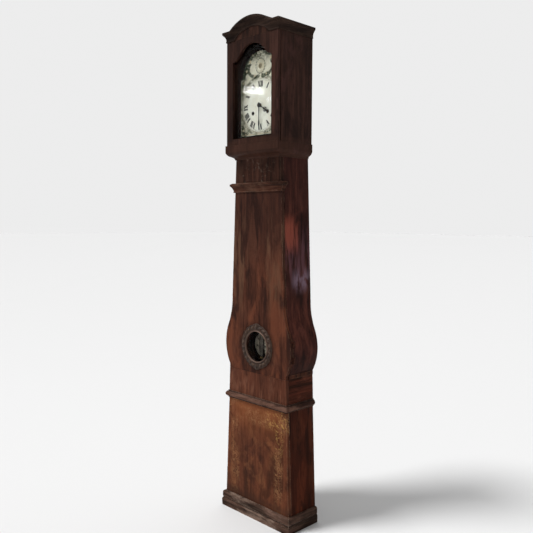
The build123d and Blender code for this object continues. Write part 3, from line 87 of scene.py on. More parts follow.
# ---- light and surroundings
sun_direction = Vector((0.261, 0.426, -0.866))
sun_strength = 2.5
sun_spread = math.radians(14)
lamps = (
    # place, aim, width, height and power
    ((-3.13, -3.00, 2.79), (0.0, 0.0, 1.86), 0.18, 0.07, 3.0),
    ((-2.86, -3.00, 2.66), (0.0, 0.0, 1.86), 0.05, 0.05, 0.3),
)
backdrop_tone = 0.845
backdrop_side = (-0.71, 0.70, 0.0)
backdrop_start = -0.25
backdrop_end = 0.60
shade_tone = 0.24
floor_half = 60.0
floor_tone = 0.795
floor_fade = 0.068
floor_fade_reach = 6.0


# ======== shader helpers
class Nodes:
    """Adds and links the nodes of one node tree."""

    def __init__(self, tree):
        self.tree = tree

    def feed(self, socket, value):
        """Links a socket to another one, or sets its own value."""
        if isinstance(value, bpy.types.NodeSocket):
            self.tree.links.new(value, socket)
        elif hasattr(value, "__len__") and len(value) == 3 and socket.type == "RGBA":
            socket.default_value = (*value, 1.0)
        else:
            socket.default_value = value

    def add(self, kind, values=None, **settings):
        """Adds a node with its settings, and with the values or links of its inputs."""
        node = self.tree.nodes.new(kind)
        for key, value in settings.items():
            setattr(node, key, value)
        for key, value in (values or {}).items():
            self.feed(node.inputs[key], value)
        return node

    def math(self, operation, first, *others):
        """Joins the values one after the other by an operation."""
        for other in others:
            first = self.add("ShaderNodeMath", {0: first, 1: other}, operation=operation).outputs[0]
        return first

    def plus(self, *values):
        return self.math("ADD", *values)

    def minus(self, first, second):
        return self.math("SUBTRACT", first, second)

    def times(self, *values):
        return self.math("MULTIPLY", *values)

    def larger(self, *values):
        return self.math("MAXIMUM", *values)

    def size(self, value):
        return self.math("ABSOLUTE", value, 0.0)


class Graph(Nodes):
    """The shader of one material."""

    def __init__(self, name):
        self.material = bpy.data.materials.new(name)
        self.material.use_nodes = True
        super().__init__(self.material.node_tree)
        self.shader = self.tree.nodes["Principled BSDF"]
        self.place = self.add("ShaderNodeTexCoord").outputs["Object"]
        self.colour = None

    def axes(self):
        return tuple(self.add("ShaderNodeSeparateXYZ", {0: self.place}).outputs)

    def distance(self, centre):
        """Distance of each point of the piece from a fixed place."""
        node = self.add("ShaderNodeVectorMath", {0: self.place, 1: centre}, operation="DISTANCE")
        return node.outputs["Value"]

    def noise(self, scale, detail, roughness=0.55, distortion=0.0, stretch=(1, 1, 1), shift=(0, 0, 0)):
        """Random clouds, drawn out along the axes whose stretch is below 1."""
        place = self.add("ShaderNodeMapping", {"Vector": self.place, "Scale": stretch, "Location": shift})
        values = {"Vector": place.outputs[0], "Scale": scale, "Detail": detail, "Roughness": roughness}
        return self.add("ShaderNodeTexNoise", {**values, "Distortion": distortion}).outputs[0]

    def cells(self, scale, feature="F1"):
        node = self.add("ShaderNodeTexVoronoi", {"Vector": self.place, "Scale": scale}, feature=feature)
        return node.outputs["Distance"]

    def between(self, value, low, high):
        """Rises smoothly from 0 to 1 as the value goes from low to high."""
        values = {0: value, 1: low, 2: high}
        return self.add("ShaderNodeMapRange", values, interpolation_type="SMOOTHSTEP").outputs[0]

    def window(self, value, low, high, soft):
        """Is 1 between low and high, with soft ends."""
        rise = self.between(value, low - soft, low + soft)
        return self.times(rise, self.between(value, high + soft, high - soft))

    def near(self, value, centre, reach):
        """Is 1 at a centre value, and falls to 0 at a reach on both sides."""
        return self.between(self.size(self.minus(value, centre)), reach, 0.0)

    def blend(self, share, first, second):
        values = {"Factor": share, "A": first, "B": second}
        return self.add("ShaderNodeMix", values, data_type="RGBA").outputs["Result"]

    def cover(self, tone, *masks):
        """Lays a tone over the colour so far, by the product of some masks and a share."""
        self.colour = self.blend(self.times(*masks), self.colour, tone)

    def edges(self, radius):
        """Mask of the outer edges of a piece."""
        rounded = self.add("ShaderNodeBevel", {"Radius": radius}, samples=6).outputs[0]
        flat = self.add("ShaderNodeNewGeometry").outputs["True Normal"]
        agreement = self.add("ShaderNodeVectorMath", {0: rounded, 1: flat}, operation="DOT_PRODUCT")
        return self.between(agreement.outputs["Value"], 0.995, 0.82)

    def relief(self, height, distance, strength):
        bump = self.add("ShaderNodeBump", {"Height": height, "Distance": distance, "Strength": strength})
        self.feed(self.shader.inputs["Normal"], bump.outputs[0])

    def finish(self, roughness, **others):
        """Feeds the shader. Its other inputs are given by name, with _ for a blank."""
        for key, value in {"Base Color": self.colour, "Roughness": roughness, **others}.items():
            self.feed(self.shader.inputs[key.replace("_", " ")], value)
        return self.material


# ======== wood
upright_grain = (1, 1, 0.05)
level_grain = (0.05, 0.05, 1)
grain_relief = 0.0011
edge_reach = 0.0035
edge_fade = 0.02
door_foot = 0.012


def shaded(colour, share):
    return tuple(share * value for value in colour)


def wood(name, tones, grain=upright_grain, worn_share=0.5, edge=None, edge_share=0.7, edge_from=None,
         gloss=0.42, cloud=0.32, stain=None):
    """Stained and worn boards: streaks along the grain, cloudy stain, rubbed patches and edges, dents."""
    dark, middle, light, worn = tones
    graph = Graph(name)
    cloud_grain = tuple(cloud if value < 1 else 1.0 for value in grain)
    fine_grain = tuple(value * (0.5 if value < 1 else 1) for value in grain)
    streaks = graph.noise(55, 6, 0.62, 0.6, grain)
    fibres = graph.noise(330, 3, 0.6, stretch=fine_grain, shift=(3.1, 1.7, 0.4))
    clouds = graph.noise(9, 5, 0.62, 0.3, cloud_grain)
    patches = graph.noise(12, 6, 0.65, 0.5, cloud_grain, (0.7, 0.2, 0.9))
    smoke = graph.noise(15, 6, 0.66, 0.8, cloud_grain, (0.4, 0.9, 0.2))
    tone = graph.plus(graph.times(streaks, 0.5), graph.times(clouds, 0.5))
    graph.colour = graph.blend(graph.between(tone, 0.40, 0.51), dark, middle)
    graph.cover(light, graph.between(tone, 0.51, 0.61))
    graph.cover(worn, graph.between(patches, 0.50, 0.64), worn_share)
    graph.cover(shaded(dark, 0.75), graph.between(smoke, 0.50, 0.66), 0.65)
    graph.cover(shaded(dark, 0.45), graph.between(fibres, 0.45, 0.34), 0.6)
    # lays stains and paint, and for some woods painted shade and painted sheen
    if stain:
        stain(graph)
    if edge:
        scuffs = graph.between(graph.noise(38, 5, 0.7), 0.36, 0.62)
        share = graph.times(graph.edges(edge_reach), scuffs, edge_share)
        if edge_from:
            share = graph.times(share, graph.between(graph.axes()[2], edge_from, edge_from + edge_fade))
        graph.cover(edge, share)
    dents = graph.noise(21, 4, 0.6)
    pits = graph.between(graph.cells(75), 0.0, 0.12)
    heights = ((streaks, 0.6), (fibres, 0.35), (dents, 0.5), (pits, 0.12))
    graph.relief(graph.plus(*(graph.times(*height) for height in heights)), grain_relief, 0.8)
    return graph.finish(graph.plus(graph.times(patches, 0.34), gloss - 0.16), Specular_IOR_Level=0.03)


# ---- stains and paint on the boards, with painted shade and painted sheen
garland_half = 0.180
garland_border = (0.012, 0.062)
garland_swag = (0.035, 0.105)
base_smudge = (0.16, 0.36)
base_foot_dirt = (0.125, 0.085)
red_patch = (1.235, 1.370)
mauve_patch = (1.10, 1.30)
pale_sheen = (1.065, 1.135)
pale_sheen_depth = (0.005, 0.105)
side_neck_shade = (1.39, 1.50)
belly_shade = 0.12
belly_top = 1.0
plinth_step_level = 0.044


def garland(graph):
    """A warm ground with rubbed remains of curling gilded leaves along both borders and across the top."""
    x, _, z = graph.axes()
    across = graph.size(x)
    glow = graph.times(graph.between(z, base_top - 0.20, base_top - 0.02), graph.between(across, 0.20, 0.10))
    graph.cover((0.235, 0.074, 0.027), glow, 0.62)
    border = graph.window(graph.minus(garland_half, across), *garland_border, 0.014)
    swag = graph.window(graph.minus(base_top, z), *garland_swag, 0.020)
    zone = graph.larger(border, swag)
    scroll = graph.noise(30, 3, 0.6, 1.9, (1, 1, 0.75))
    sprig = graph.noise(62, 3, 0.6, 1.4, (1, 1, 0.8), (0.5, 0.2, 0.7))
    curls = graph.larger(graph.near(scroll, 0.5, 0.055), graph.times(graph.near(sprig, 0.5, 0.045), 0.8))
    remains = graph.noise(10, 4, 0.6, stretch=(1, 1, 0.8), shift=(0.3, 0.1, 0.35))
    tan = graph.blend(graph.noise(60, 2), (0.30, 0.125, 0.050), (0.42, 0.22, 0.105))
    graph.cover(tan, curls, zone, graph.between(remains, 0.36, 0.58), 0.62)
    lively = graph.times(graph.between(x, 0.00, 0.12), graph.between(z, base_top - 0.30, base_top - 0.10))
    flecks = graph.noise(85, 4, 0.65, 1.2, (1, 1, 0.8), (0.1, 0.7, 0.4))
    graph.cover((0.50, 0.28, 0.085), lively, graph.between(flecks, 0.52, 0.60), zone, 0.55)
    smudge = graph.times(graph.near(x, -0.02, 0.13), graph.window(z, *base_smudge, 0.07))
    stain = graph.noise(14, 5, 0.66, 0.6, (1, 1, 0.7))
    graph.cover((0.034, 0.012, 0.009), smudge, graph.between(stain, 0.42, 0.58), 0.70)
    graph.cover((0.040, 0.018, 0.012), graph.between(z, *base_foot_dirt), 0.55)


def door_stain(graph):
    """Dark and smoky above, redder below, with olive worn smears at both sides and grime round the oculus."""
    x, _, z = graph.axes()
    low, high = door_low[2], door_high[2]
    graph.cover((0.030, 0.0125, 0.0095), graph.between(z, low + 0.28, high - 0.10), 0.62)
    smears = graph.noise(24, 5, 0.66, 0.5, (1, 1, 0.14), (0.2, 0.5, 0.1))
    flank = graph.between(graph.size(graph.plus(x, 0.01)), 0.030, 0.085)
    middle = graph.window(z, low + 0.30, high - 0.16, 0.10)
    olive = graph.between(smears, 0.47, 0.62)
    graph.cover((0.128, 0.062, 0.036), olive, flank, middle, 0.70)
    red = graph.noise(13, 5, 0.62, 0.7, (1, 1, 0.35), (0.6, 0.3, 0.8))
    lower = graph.between(z, low + 0.62, low + 0.30)
    graph.cover((0.150, 0.047, 0.024), graph.between(red, 0.46, 0.62), lower, 0.70)
    soot = graph.noise(15, 5, 0.62, 0.6, (1, 1, 0.22), (0.9, 0.1, 0.6))
    graph.cover((0.018, 0.0075, 0.006), graph.between(soot, 0.48, 0.62), 0.75)
    distance = graph.distance((0, trunk_front, oculus_height))
    grime = graph.between(distance, bezel_outer + 0.030, bezel_outer - 0.004)
    graph.cover((0.022, 0.009, 0.006), grime, 0.55)


def side_stain(graph):
    """Right side: rubbed red patch, mauve with painted pale sheen under it, painted shade at neck and belly.
    """
    _, y, z = graph.axes()
    grain = graph.noise(30, 5, 0.65, 0.5, (1, 1, 0.14))
    mauve = graph.times(graph.window(z, *mauve_patch, 0.07), graph.between(grain, 0.40, 0.60))
    graph.cover((0.135, 0.058, 0.068), mauve, 0.65)
    red = graph.times(graph.window(z, *red_patch, 0.035), graph.between(y, 0.062, 0.018))
    graph.cover((0.260, 0.064, 0.041), red, graph.between(grain, 0.40, 0.56), 0.88)
    cloud = graph.noise(22, 4, 0.6, 0.6, (1, 1, 0.45), (0.3, 0.3, 0.1))
    # painted sheen: a pale bluish patch where the lacquer of the side catches the light
    sheen = graph.times(graph.window(z, *pale_sheen, 0.035), graph.between(cloud, 0.44, 0.62))
    sheen = graph.times(sheen, graph.window(y, *pale_sheen_depth, 0.03))
    graph.cover((0.270, 0.190, 0.250), sheen, 0.62)
    # painted shade: darker upwards towards the neck, under the overhanging mouldings
    graph.cover((0.030, 0.010, 0.008), graph.between(z, *side_neck_shade), 0.35)
    under = graph.between(z, oculus_height, oculus_height - belly_shade)
    graph.cover((0.018, 0.006, 0.004), under, 0.60)
    belly = graph.times(graph.window(z, oculus_height, belly_top, 0.03), graph.between(grain, 0.42, 0.66))
    graph.cover((0.135, 0.040, 0.027), belly, 0.6)


def neck_flowers(graph):
    """Faint dabs of worn pale paint scattered across the neck board."""
    across = graph.size(graph.axes()[0])
    dabs = graph.between(graph.noise(52, 4, 0.62, 1.1), 0.52, 0.64)
    zone = graph.between(graph.noise(17, 3, 0.6), 0.44, 0.60)
    graph.cover((0.170, 0.125, 0.098), dabs, zone, graph.between(across, 0.125, 0.095), 0.60)


def head_stain(graph):
    """A slightly lighter lower rail, and purple smears on the right side of the head."""
    x, _, z = graph.axes()
    rail = graph.between(z, head_low[2] + 0.03, head_low[2])
    graph.cover((0.070, 0.030, 0.019), rail, 0.35)
    smears = graph.noise(16, 5, 0.64, 0.8, (1, 1, 0.30), (0.5, 0.8, 0.3))
    side = graph.math("GREATER_THAN", x, head_high[0] - 0.01)
    graph.cover((0.080, 0.034, 0.030), graph.between(smears, 0.50, 0.64), side, 0.40)


def tympanum(graph):
    """The board behind the arch has the stain of the head."""
    x, y, _ = graph.axes()
    behind = graph.math("GREATER_THAN", y, head_low[1] - 0.0005)
    inside = graph.math("LESS_THAN", graph.size(x), head_high[0] - 0.0005)
    streaks = graph.noise(38, 5, 0.66, 0.7, (1, 1, 0.14))
    board = graph.blend(graph.between(streaks, 0.38, 0.62), (0.016, 0.008, 0.006), (0.050, 0.022, 0.015))
    graph.cover(board, behind, inside)


def uneven_level(graph, scale, reach):
    """Height of each point, with a small random rise."""
    return graph.plus(graph.axes()[2], graph.times(graph.noise(scale, 4, 0.65), reach))


def moulding_shade_lines(graph):
    """Painted shade: dark lines where the waist moulding meets the boards, above and below."""
    level = uneven_level(graph, 34, 0.004)
    lines = graph.larger(graph.near(level, waist_low[2] + 0.005, 0.007),
                         graph.near(level, waist_high[2] - 0.001, 0.005))
    graph.cover((0.012, 0.006, 0.004), lines, 0.8)


def plinth_groove(graph):
    """A dark line along the step of the plinth."""
    groove = graph.near(uneven_level(graph, 30, 0.010), plinth_step_level, 0.006)
    graph.cover((0.014, 0.008, 0.006), groove, 0.85)


# ======== metal, glass, paint and rope
bob_band = 0.015
bob_band_edge = 0.005
bob_unevenness = 0.008
inner_rim_width = 0.0065
inner_rim_core = 0.0035


def metal(name, dark, light, roughness, wear=0.5, dent=0.0004, scale=60):
    """Aged metal: tarnish in clouds, bright rubbed spots, scratches and small dents."""
    graph = Graph(name)
    clouds = graph.noise(scale, 5, 0.62)
    spots = graph.between(graph.noise(scale * 3.3, 4, 0.6), 0.42, 0.66)
    graph.colour = graph.blend(graph.between(clouds, 0.38, 0.62), dark, light)
    graph.cover(shaded(light, 1.35), spots, wear)
    scratches = graph.noise(scale * 9, 3, 0.7, stretch=(1, 1, 6))
    shine = graph.plus(graph.times(clouds, 0.22), graph.times(scratches, 0.10))
    graph.relief(graph.plus(clouds, graph.times(scratches, 0.3)), dent, 0.7)
    return graph.finish(graph.plus(shine, roughness - 0.16), Metallic=1.0)


def dull_bob():
    """Painted pale reflections on dark tarnished brass, at both sides of a broad upright band."""
    graph = Graph("bob_brass")
    uneven = graph.times(graph.noise(26, 5, 0.65, stretch=(1, 1, 0.5)), bob_unevenness)
    across = graph.minus(graph.plus(graph.axes()[0], uneven), bob_unevenness / 2)
    sides = graph.between(graph.size(across), bob_band, bob_band + bob_band_edge)
    clouds = graph.noise(42, 5, 0.65)
    tarnish = graph.between(clouds, 0.38, 0.62)
    graph.colour = graph.blend(tarnish, (0.005, 0.004, 0.004), (0.016, 0.013, 0.010))
    # painted reflections: pale light on both sides of the bob
    graph.cover((0.47, 0.43, 0.35), sides, graph.between(clouds, 0.34, 0.52))
    graph.relief(clouds, 0.0003, 0.6)
    return graph.finish(graph.plus(graph.times(clouds, 0.25), 0.24), Metallic=0.6)


def patina():
    """Embossed sheet brass, almost black in its hollows, with rubbed brown high points."""
    graph = Graph("bezel_brass")
    clouds = graph.noise(48, 5, 0.6)
    raised = graph.between(graph.axes()[1], trunk_front - 0.0035, trunk_front - 0.0085)
    tarnish = graph.between(clouds, 0.35, 0.65)
    graph.colour = graph.blend(tarnish, (0.026, 0.014, 0.009), (0.060, 0.033, 0.022))
    graph.cover((0.135, 0.088, 0.060), raised, graph.between(clouds, 0.36, 0.60), 0.80)
    distance = graph.distance((0, trunk_front, oculus_height))
    inner_rim = graph.between(distance, bezel_inner + inner_rim_width, bezel_inner + inner_rim_core)
    graph.cover((0.175, 0.108, 0.080), inner_rim, 0.75)
    graph.relief(graph.noise(260, 3, 0.6), 0.0003, 0.6)
    shine = graph.plus(graph.times(clouds, 0.3), 0.36)
    return graph.finish(shine, Metallic=0.35, Specular_IOR_Level=0.25)


def glass(name, tint, roughness, coat):
    """Old drawn glass: nearly clear, faintly tinted, with a slow ripple and a film of dust."""
    graph = Graph(name)
    dust = graph.between(graph.noise(30, 5, 0.7), 0.45, 0.8)
    graph.relief(graph.noise(9, 2, 0.5, stretch=(1, 1, 0.5)), 0.0004, 0.15)
    shine = graph.plus(graph.times(dust, 0.02), roughness)
    graph.colour = tint
    return graph.finish(shine, Transmission_Weight=1.0, IOR=1.03, Specular_IOR_Level=0.2,
                        Coat_Weight=coat, Coat_Roughness=0.0, Coat_IOR=1.45)


def painted_dial():
    """Cream painted sheet iron: a brown line round the disc, olive washes at the rim, stains and crazing."""
    graph = Graph("dial_paint")
    x, _, z = graph.axes()
    across = graph.size(x)
    clouds = graph.noise(26, 5, 0.6)
    graph.colour = graph.blend(graph.between(clouds, 0.35, 0.65), (0.64, 0.61, 0.46), (0.80, 0.78, 0.63))
    distance = graph.distance((0, dial_face, dial_centre))
    edge = graph.between(distance, chapter_radius + 0.006, chapter_radius - 0.001)
    graph.cover((0.130, 0.105, 0.060), edge, 0.75)
    from_middle = graph.size(graph.minus(z, dial_centre))
    corners = graph.times(graph.between(across, 0.070, 0.112), graph.between(from_middle, 0.060, 0.095))
    halo = graph.times(graph.window(distance, chapter_radius + 0.004, chapter_radius + 0.018, 0.004),
                       graph.between(across, 0.012, 0.030))
    arch = graph.between(z, dial_high[2] - 0.060, dial_high[2] - 0.012)
    rim = graph.between(across, 0.095, 0.116)
    zone = graph.larger(corners, halo, graph.times(graph.larger(arch, rim), 0.8))
    wash = graph.between(graph.noise(58, 5, 0.66, 0.8), 0.38, 0.56)
    graph.cover((0.072, 0.084, 0.038), zone, wash, 0.88)
    deep = graph.noise(88, 4, 0.66, 0.9, (1, 1, 1), (0.4, 0.1, 0.3))
    graph.cover((0.020, 0.024, 0.012), zone, graph.between(deep, 0.50, 0.60), 0.75)
    spots = graph.between(graph.noise(150, 4, 0.7), 0.60, 0.74)
    graph.cover((0.20, 0.15, 0.08), spots, 0.45)
    crazing = graph.between(graph.cells(95, "DISTANCE_TO_EDGE"), 0.05, 0.0)
    graph.cover((0.25, 0.20, 0.13), crazing, 0.20)
    graph.relief(graph.plus(clouds, graph.times(crazing, -0.4)), 0.0002, 0.6)
    return graph.finish(graph.plus(graph.times(clouds, 0.2), 0.28))


def paint(name, first, second, roughness=0.45, scale=240, gloss=0.25):
    """Brushed paint of two close tones, thin in places."""
    graph = Graph(name)
    brush = graph.noise(scale, 4, 0.65)
    graph.colour = graph.blend(graph.between(brush, 0.36, 0.62), first, second)
    graph.relief(brush, 0.0001, 0.5)
    shine = graph.plus(graph.times(brush, 0.15), roughness - 0.07)
    return graph.finish(shine, Specular_IOR_Level=gloss)


def enamel():
    """White enamelled dial disc: almost even, with faint yellow clouds and hairlines."""
    graph = Graph("enamel")
    clouds = graph.noise(19, 4, 0.6)
    graph.colour = graph.blend(graph.between(clouds, 0.35, 0.7), (0.90, 0.91, 0.80), (0.82, 0.80, 0.66))
    cracks = graph.between(graph.cells(33, "DISTANCE_TO_EDGE"), 0.012, 0.0)
    graph.cover((0.30, 0.26, 0.18), cracks, 0.4)
    graph.relief(clouds, 0.0002, 0.4)
    return graph.finish(graph.plus(graph.times(clouds, 0.12), 0.12), Coat_Weight=0.6)


def twine():
    """Hemp rope fibres, dirty in places."""
    graph = Graph("rope")
    fibres = graph.noise(900, 3, 0.7, stretch=(1, 1, 0.3))
    dirt = graph.between(graph.noise(14, 4, 0.6), 0.45, 0.7)
    graph.colour = graph.blend(fibres, (0.20, 0.13, 0.07), (0.42, 0.31, 0.19))
    graph.cover((0.10, 0.065, 0.04), dirt, 0.5)
    graph.relief(fibres, 0.0003, 0.8)
    return graph.finish(graph.plus(graph.times(fibres, 0.1), 0.80))


def studio_floor():
    """Pale matt floor, faintly uneven, with painted shade that darkens it a little with the distance."""
    graph = Graph("floor")
    distance = graph.distance((0, 0, 0))
    # painted shade: the floor darkens with the distance, to meet the backdrop
    fade = graph.math("DIVIDE", distance, graph.plus(distance, floor_fade_reach))
    graph.colour = graph.blend(fade, (floor_tone,) * 3, (floor_tone - floor_fade,) * 3)
    graph.cover((1.0, 1.0, 1.0), graph.noise(0.8, 2), 0.015)
    return graph.finish(0.9, Specular_IOR_Level=0.0)


# ======== mesh helpers
def make_piece(name, mesh_maker, material, body, smooth=True, node=None):
    """Makes a mesh object from a bmesh builder, with its finish, body and the node that it replaces."""
    builder = bmesh.new()
    mesh_maker(builder)
    bmesh.ops.recalc_face_normals(builder, faces=builder.faces)
    mesh = bpy.data.meshes.new(name)
    builder.to_mesh(mesh)
    builder.free()
    piece = bpy.data.objects.new(name, mesh)
    bpy.context.scene.collection.objects.link(piece)
    mesh.materials.append(material)
    for face in mesh.polygons:
        face.use_smooth = smooth
    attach(piece, body)
    if node:
        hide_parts(node)
    return piece


def oval(x, z, across, up, steps):
    """Points of an oval in X and Z."""
    turns = [2 * math.pi * step / steps for step in range(steps)]
    return [(x + across * math.cos(turn), z + up * math.sin(turn)) for turn in turns]


def join_rings(builder, rings):
    """Adds the faces between closed rings of vertices."""
    for first, second in zip(rings, rings[1:]):
        count = len(first)
        for index in range(count):
            after = (index + 1) % count
            builder.faces.new((first[index], second[index], second[after], first[after]))


def add_slab(builder, outline, front, back):
    """Adds a flat plate with a given outline in X and Z, from its front to its back."""
    rings = [[builder.verts.new((x, level, z)) for x, z in outline] for level in (front, back)]
    join_rings(builder, rings)
    builder.faces.new(rings[0])
    builder.faces.new(reversed(rings[1]))


def add_tube(builder, path, radius, sides=8, closed=False):
    """Adds a round bar along a list of points."""
    rings = []
    count = len(path)
    for index, point in enumerate(path):
        before = path[index - 1] if index or closed else path[index]
        after = path[(index + 1) % count] if index < count - 1 or closed else path[index]
        along = (Vector(after) - Vector(before)).normalized()
        across = along.orthogonal() if abs(along.y) > 0.99 else along.cross(Vector((0, 1, 0))).normalized()
        over = along.cross(across)
        section = oval(0, 0, radius, radius, sides)
        rings.append([builder.verts.new(Vector(point) + across * side + over * up) for side, up in section])
    if closed:
        join_rings(builder, rings + rings[:1])
    else:
        join_rings(builder, rings)
        builder.faces.new(rings[0])
        builder.faces.new(reversed(rings[-1]))


def add_boss(builder, x, z, level, profile, steps=12):
    """Adds a turned boss that rises towards the front from a level, by radii and rises."""
    rings = []
    for radius, rise in profile:
        section = oval(x, z, radius, radius, steps)
        rings.append([builder.verts.new((across, level - rise, up)) for across, up in section])
    join_rings(builder, rings)
    builder.faces.new(rings[-1])
    builder.faces.new(reversed(rings[0]))


# ======== dial
chapter_radius = 0.1145
minute_track = 0.1085
minute_track_width = 0.0028
minute_line = 0.00022
five_minute_tick = (0.0032, 0.5)
minute_tick = (0.0018, 0.22)
numeral_outer = 0.1055
numeral_inner = 0.0800
thick_stroke = 0.0062
thin_stroke = 0.0024
serif = 0.0011
stroke_pitch = 0.0077
wide_letter = 1.35
wide_letter_gap = 0.85
numerals = ("XII", "I", "II", "III", "IIII", "V", "VI", "VII", "VIII", "IX", "X", "XI")
winding_reach = 0.046
winding_level = dial_centre - 0.031
winding_radius = 0.0072
winding_rim = 0.0014
pipe_hole = 0.0085
disc_rise = 0.0005
paint_rise = 0.00015
base_line_half = 0.118
base_line_foot = 0.004
base_line_width = 0.0022


def on_dial(angle, radius):
    """Point of the dial at an angle clockwise from twelve and a distance from its centre."""
    turn = math.radians(angle)
    return radius * math.sin(turn), dial_centre + radius * math.cos(turn)


def numeral_strokes(word):
    """Strokes of a Roman number: the middle of the foot and of the top, and the width of each."""
    strokes = []
    place = 0.0
    for letter in word:
        if letter == "I":
            strokes.append((place, place, thick_stroke))
            place += stroke_pitch
            continue
        spread = stroke_pitch * wide_letter
        if letter == "V":
            middle = place + spread / 2
            strokes += [(middle, place, thick_stroke), (middle, place + spread, thin_stroke)]
        else:
            strokes += [(place + spread, place, thick_stroke), (place, place + spread, thin_stroke)]
        place += spread + stroke_pitch * wide_letter_gap
    shift = (strokes[0][1] + max(top for foot, top, width in strokes)) / 2
    return [(foot - shift, top - shift, width) for foot, top, width in strokes]


def stroke_outlines(foot, top, width):
    """Outlines of one stroke and its two serifs, from the inner circle of the hours outwards."""
    half = width / 2
    height = numeral_outer - numeral_inner
    yield (foot - half, 0), (foot + half, 0), (top + half, height), (top - half, height)
    reach = half + serif
    for middle, level in ((foot, 0), (top, height - serif)):
        left, right = middle - reach, middle + reach
        yield (left, level), (right, level), (right, level + serif), (left, level + serif)


def dial_figures(builder):
    """Twelve radial Roman hours, and the minute ring with its sixty ticks, as thin raised paint."""
    level = dial_face - disc_rise
    front, back = level - paint_rise, level + paint_rise
    for hour, word in enumerate(numerals):
        turn = math.radians(30 * hour)
        for stroke in numeral_strokes(word):
            for corners in stroke_outlines(*stroke):
                outline = []
                for across, up in corners:
                    radius = numeral_inner + up
                    x = across * math.cos(turn) + radius * math.sin(turn)
                    z = radius * math.cos(turn) - across * math.sin(turn)
                    outline.append((x, dial_centre + z))
                add_slab(builder, outline, front, back)
    for minute in range(60):
        length, half = minute_tick if minute % 5 else five_minute_tick
        start, end = 6 * minute - half, 6 * minute + half
        foot = minute_track - length
        corners = ((start, minute_track), (end, minute_track), (end, foot), (start, foot))
        add_slab(builder, [on_dial(*corner) for corner in corners], front, back)
    for radius in (minute_track, minute_track + minute_track_width):
        path = [(x, level, z) for x, z in oval(0, dial_centre, radius, radius, 120)]
        add_tube(builder, path, minute_line, 6, closed=True)


def chapter_disc(builder):
    """White disc with a turned edge, open at the winding holes and the hands' pipe."""
    loops = [(0.0, dial_centre, chapter_radius, 180), (0.0, dial_centre, pipe_hole, 40)]
    loops += [(side * winding_reach, winding_level, winding_radius, 40) for side in (-1, 1)]
    front_edges = []
    for x, z, radius, steps in loops:
        rings = []
        circle = oval(x, z, radius, radius, steps)
        for level in (dial_face - disc_rise, dial_face + paint_rise):
            rings.append([builder.verts.new((across, level, up)) for across, up in circle])
        join_rings(builder, rings)
        front = rings[0]
        front_edges += [builder.edges.get((front[step - 1], front[step])) for step in range(steps)]
    bmesh.ops.triangle_fill(builder, use_beauty=True, edges=front_edges)


def winding_rims(builder):
    """Iron rims of the two winding holes."""
    for side in (-1, 1):
        circle = oval(side * winding_reach, winding_level, winding_radius, winding_radius, 48)
        add_tube(builder, [(x, dial_face - disc_rise, z) for x, z in circle], winding_rim, 8, closed=True)


def minute_blade(builder):
    """Blackened minute hand: a slim shaft that swells to a lance, a short tail and a turned collet."""
    low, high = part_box("minute_hand")
    reach = dial_centre - low[2]
    # share of the length from the centre to the tip, and half width
    halves = ((-0.125, 0.0010), (-0.085, 0.0046), (-0.055, 0.0024), (0.09, 0.0032), (0.45, 0.0018),
              (0.66, 0.0018), (0.72, 0.0038), (0.86, 0.0042), (0.95, 0.0022), (1.0, 0.0003))
    right = [(half, dial_centre - share * reach) for share, half in halves]
    left = [(-half, z) for half, z in reversed(right)]
    add_slab(builder, right + left, low[1], high[1])
    collet = ((0.0095, -0.0002), (0.0095, 0.0006), (0.0078, 0.0011), (0.0062, 0.0012))
    add_boss(builder, 0.0, dial_centre, low[1], collet, 28)


# ---- painted ornament
# Control points of the stems in X and Z, on the right half of the dial.
spray_stems = (
    ((0.002, 1.998), (0.040, 1.992), (0.078, 2.004), (0.076, 2.034)),
    ((0.104, 2.000), (0.103, 2.056), (0.064, 2.090), (0.020, 2.095)),
    ((0.088, 2.012), (0.084, 2.040), (0.062, 2.058)),
    ((0.100, 1.992), (0.112, 2.010), (0.094, 2.040)),
    ((0.117, 1.750), (0.100, 1.764), (0.114, 1.790)),
    ((0.117, 1.960), (0.104, 1.970), (0.113, 1.988)),
    ((0.108, 1.746), (0.090, 1.746), (0.078, 1.757)),
)
stem_radius = 0.0006
leaf_pitch = 0.0062
leaf_random = random.Random(7)
# X, Z and radius of the flowers on the right half.
blossoms = ((0.066, 2.066, 0.0085), (0.036, 2.001, 0.0060), (0.088, 2.028, 0.0062), (0.048, 2.091, 0.0050),
            (0.108, 1.768, 0.0068), (0.110, 1.978, 0.0055), (0.094, 1.749, 0.0045), (0.0, 2.086, 0.0062))
blossom_eye = 0.24
petal_width = 0.72
rosette_height = 2.040
rosette_flower = 0.0150
rosette_leaves = 16
rosette_size = (0.026, 0.030)
rosette_lines = ((0.0215, 0.0255), (0.0195, 0.0235))
rosette_line = 0.0005


def curve_point(points, share):
    """Point of a Bezier curve with three or four control points."""
    level = [Vector(point) for point in points]
    while len(level) > 1:
        level = [first.lerp(second, share) for first, second in zip(level, level[1:])]
    return level[0]


def add_leaf(builder, x, z, angle, length, width, front, back):
    """Adds a pointed flat leaf."""
    turn = math.radians(angle)
    shares = ((0, 0.06), (0.3, 0.42), (0.6, 0.5), (0.85, 0.28), (1.0, 0.03))
    outline = [(along * length, half * width) for along, half in shares]
    outline += [(along, -half) for along, half in reversed(outline)]
    placed = []
    for along, across in outline:
        placed.append((x + along * math.cos(turn) - across * math.sin(turn),
                       z + along * math.sin(turn) + across * math.cos(turn)))
    add_slab(builder, placed, front, back)


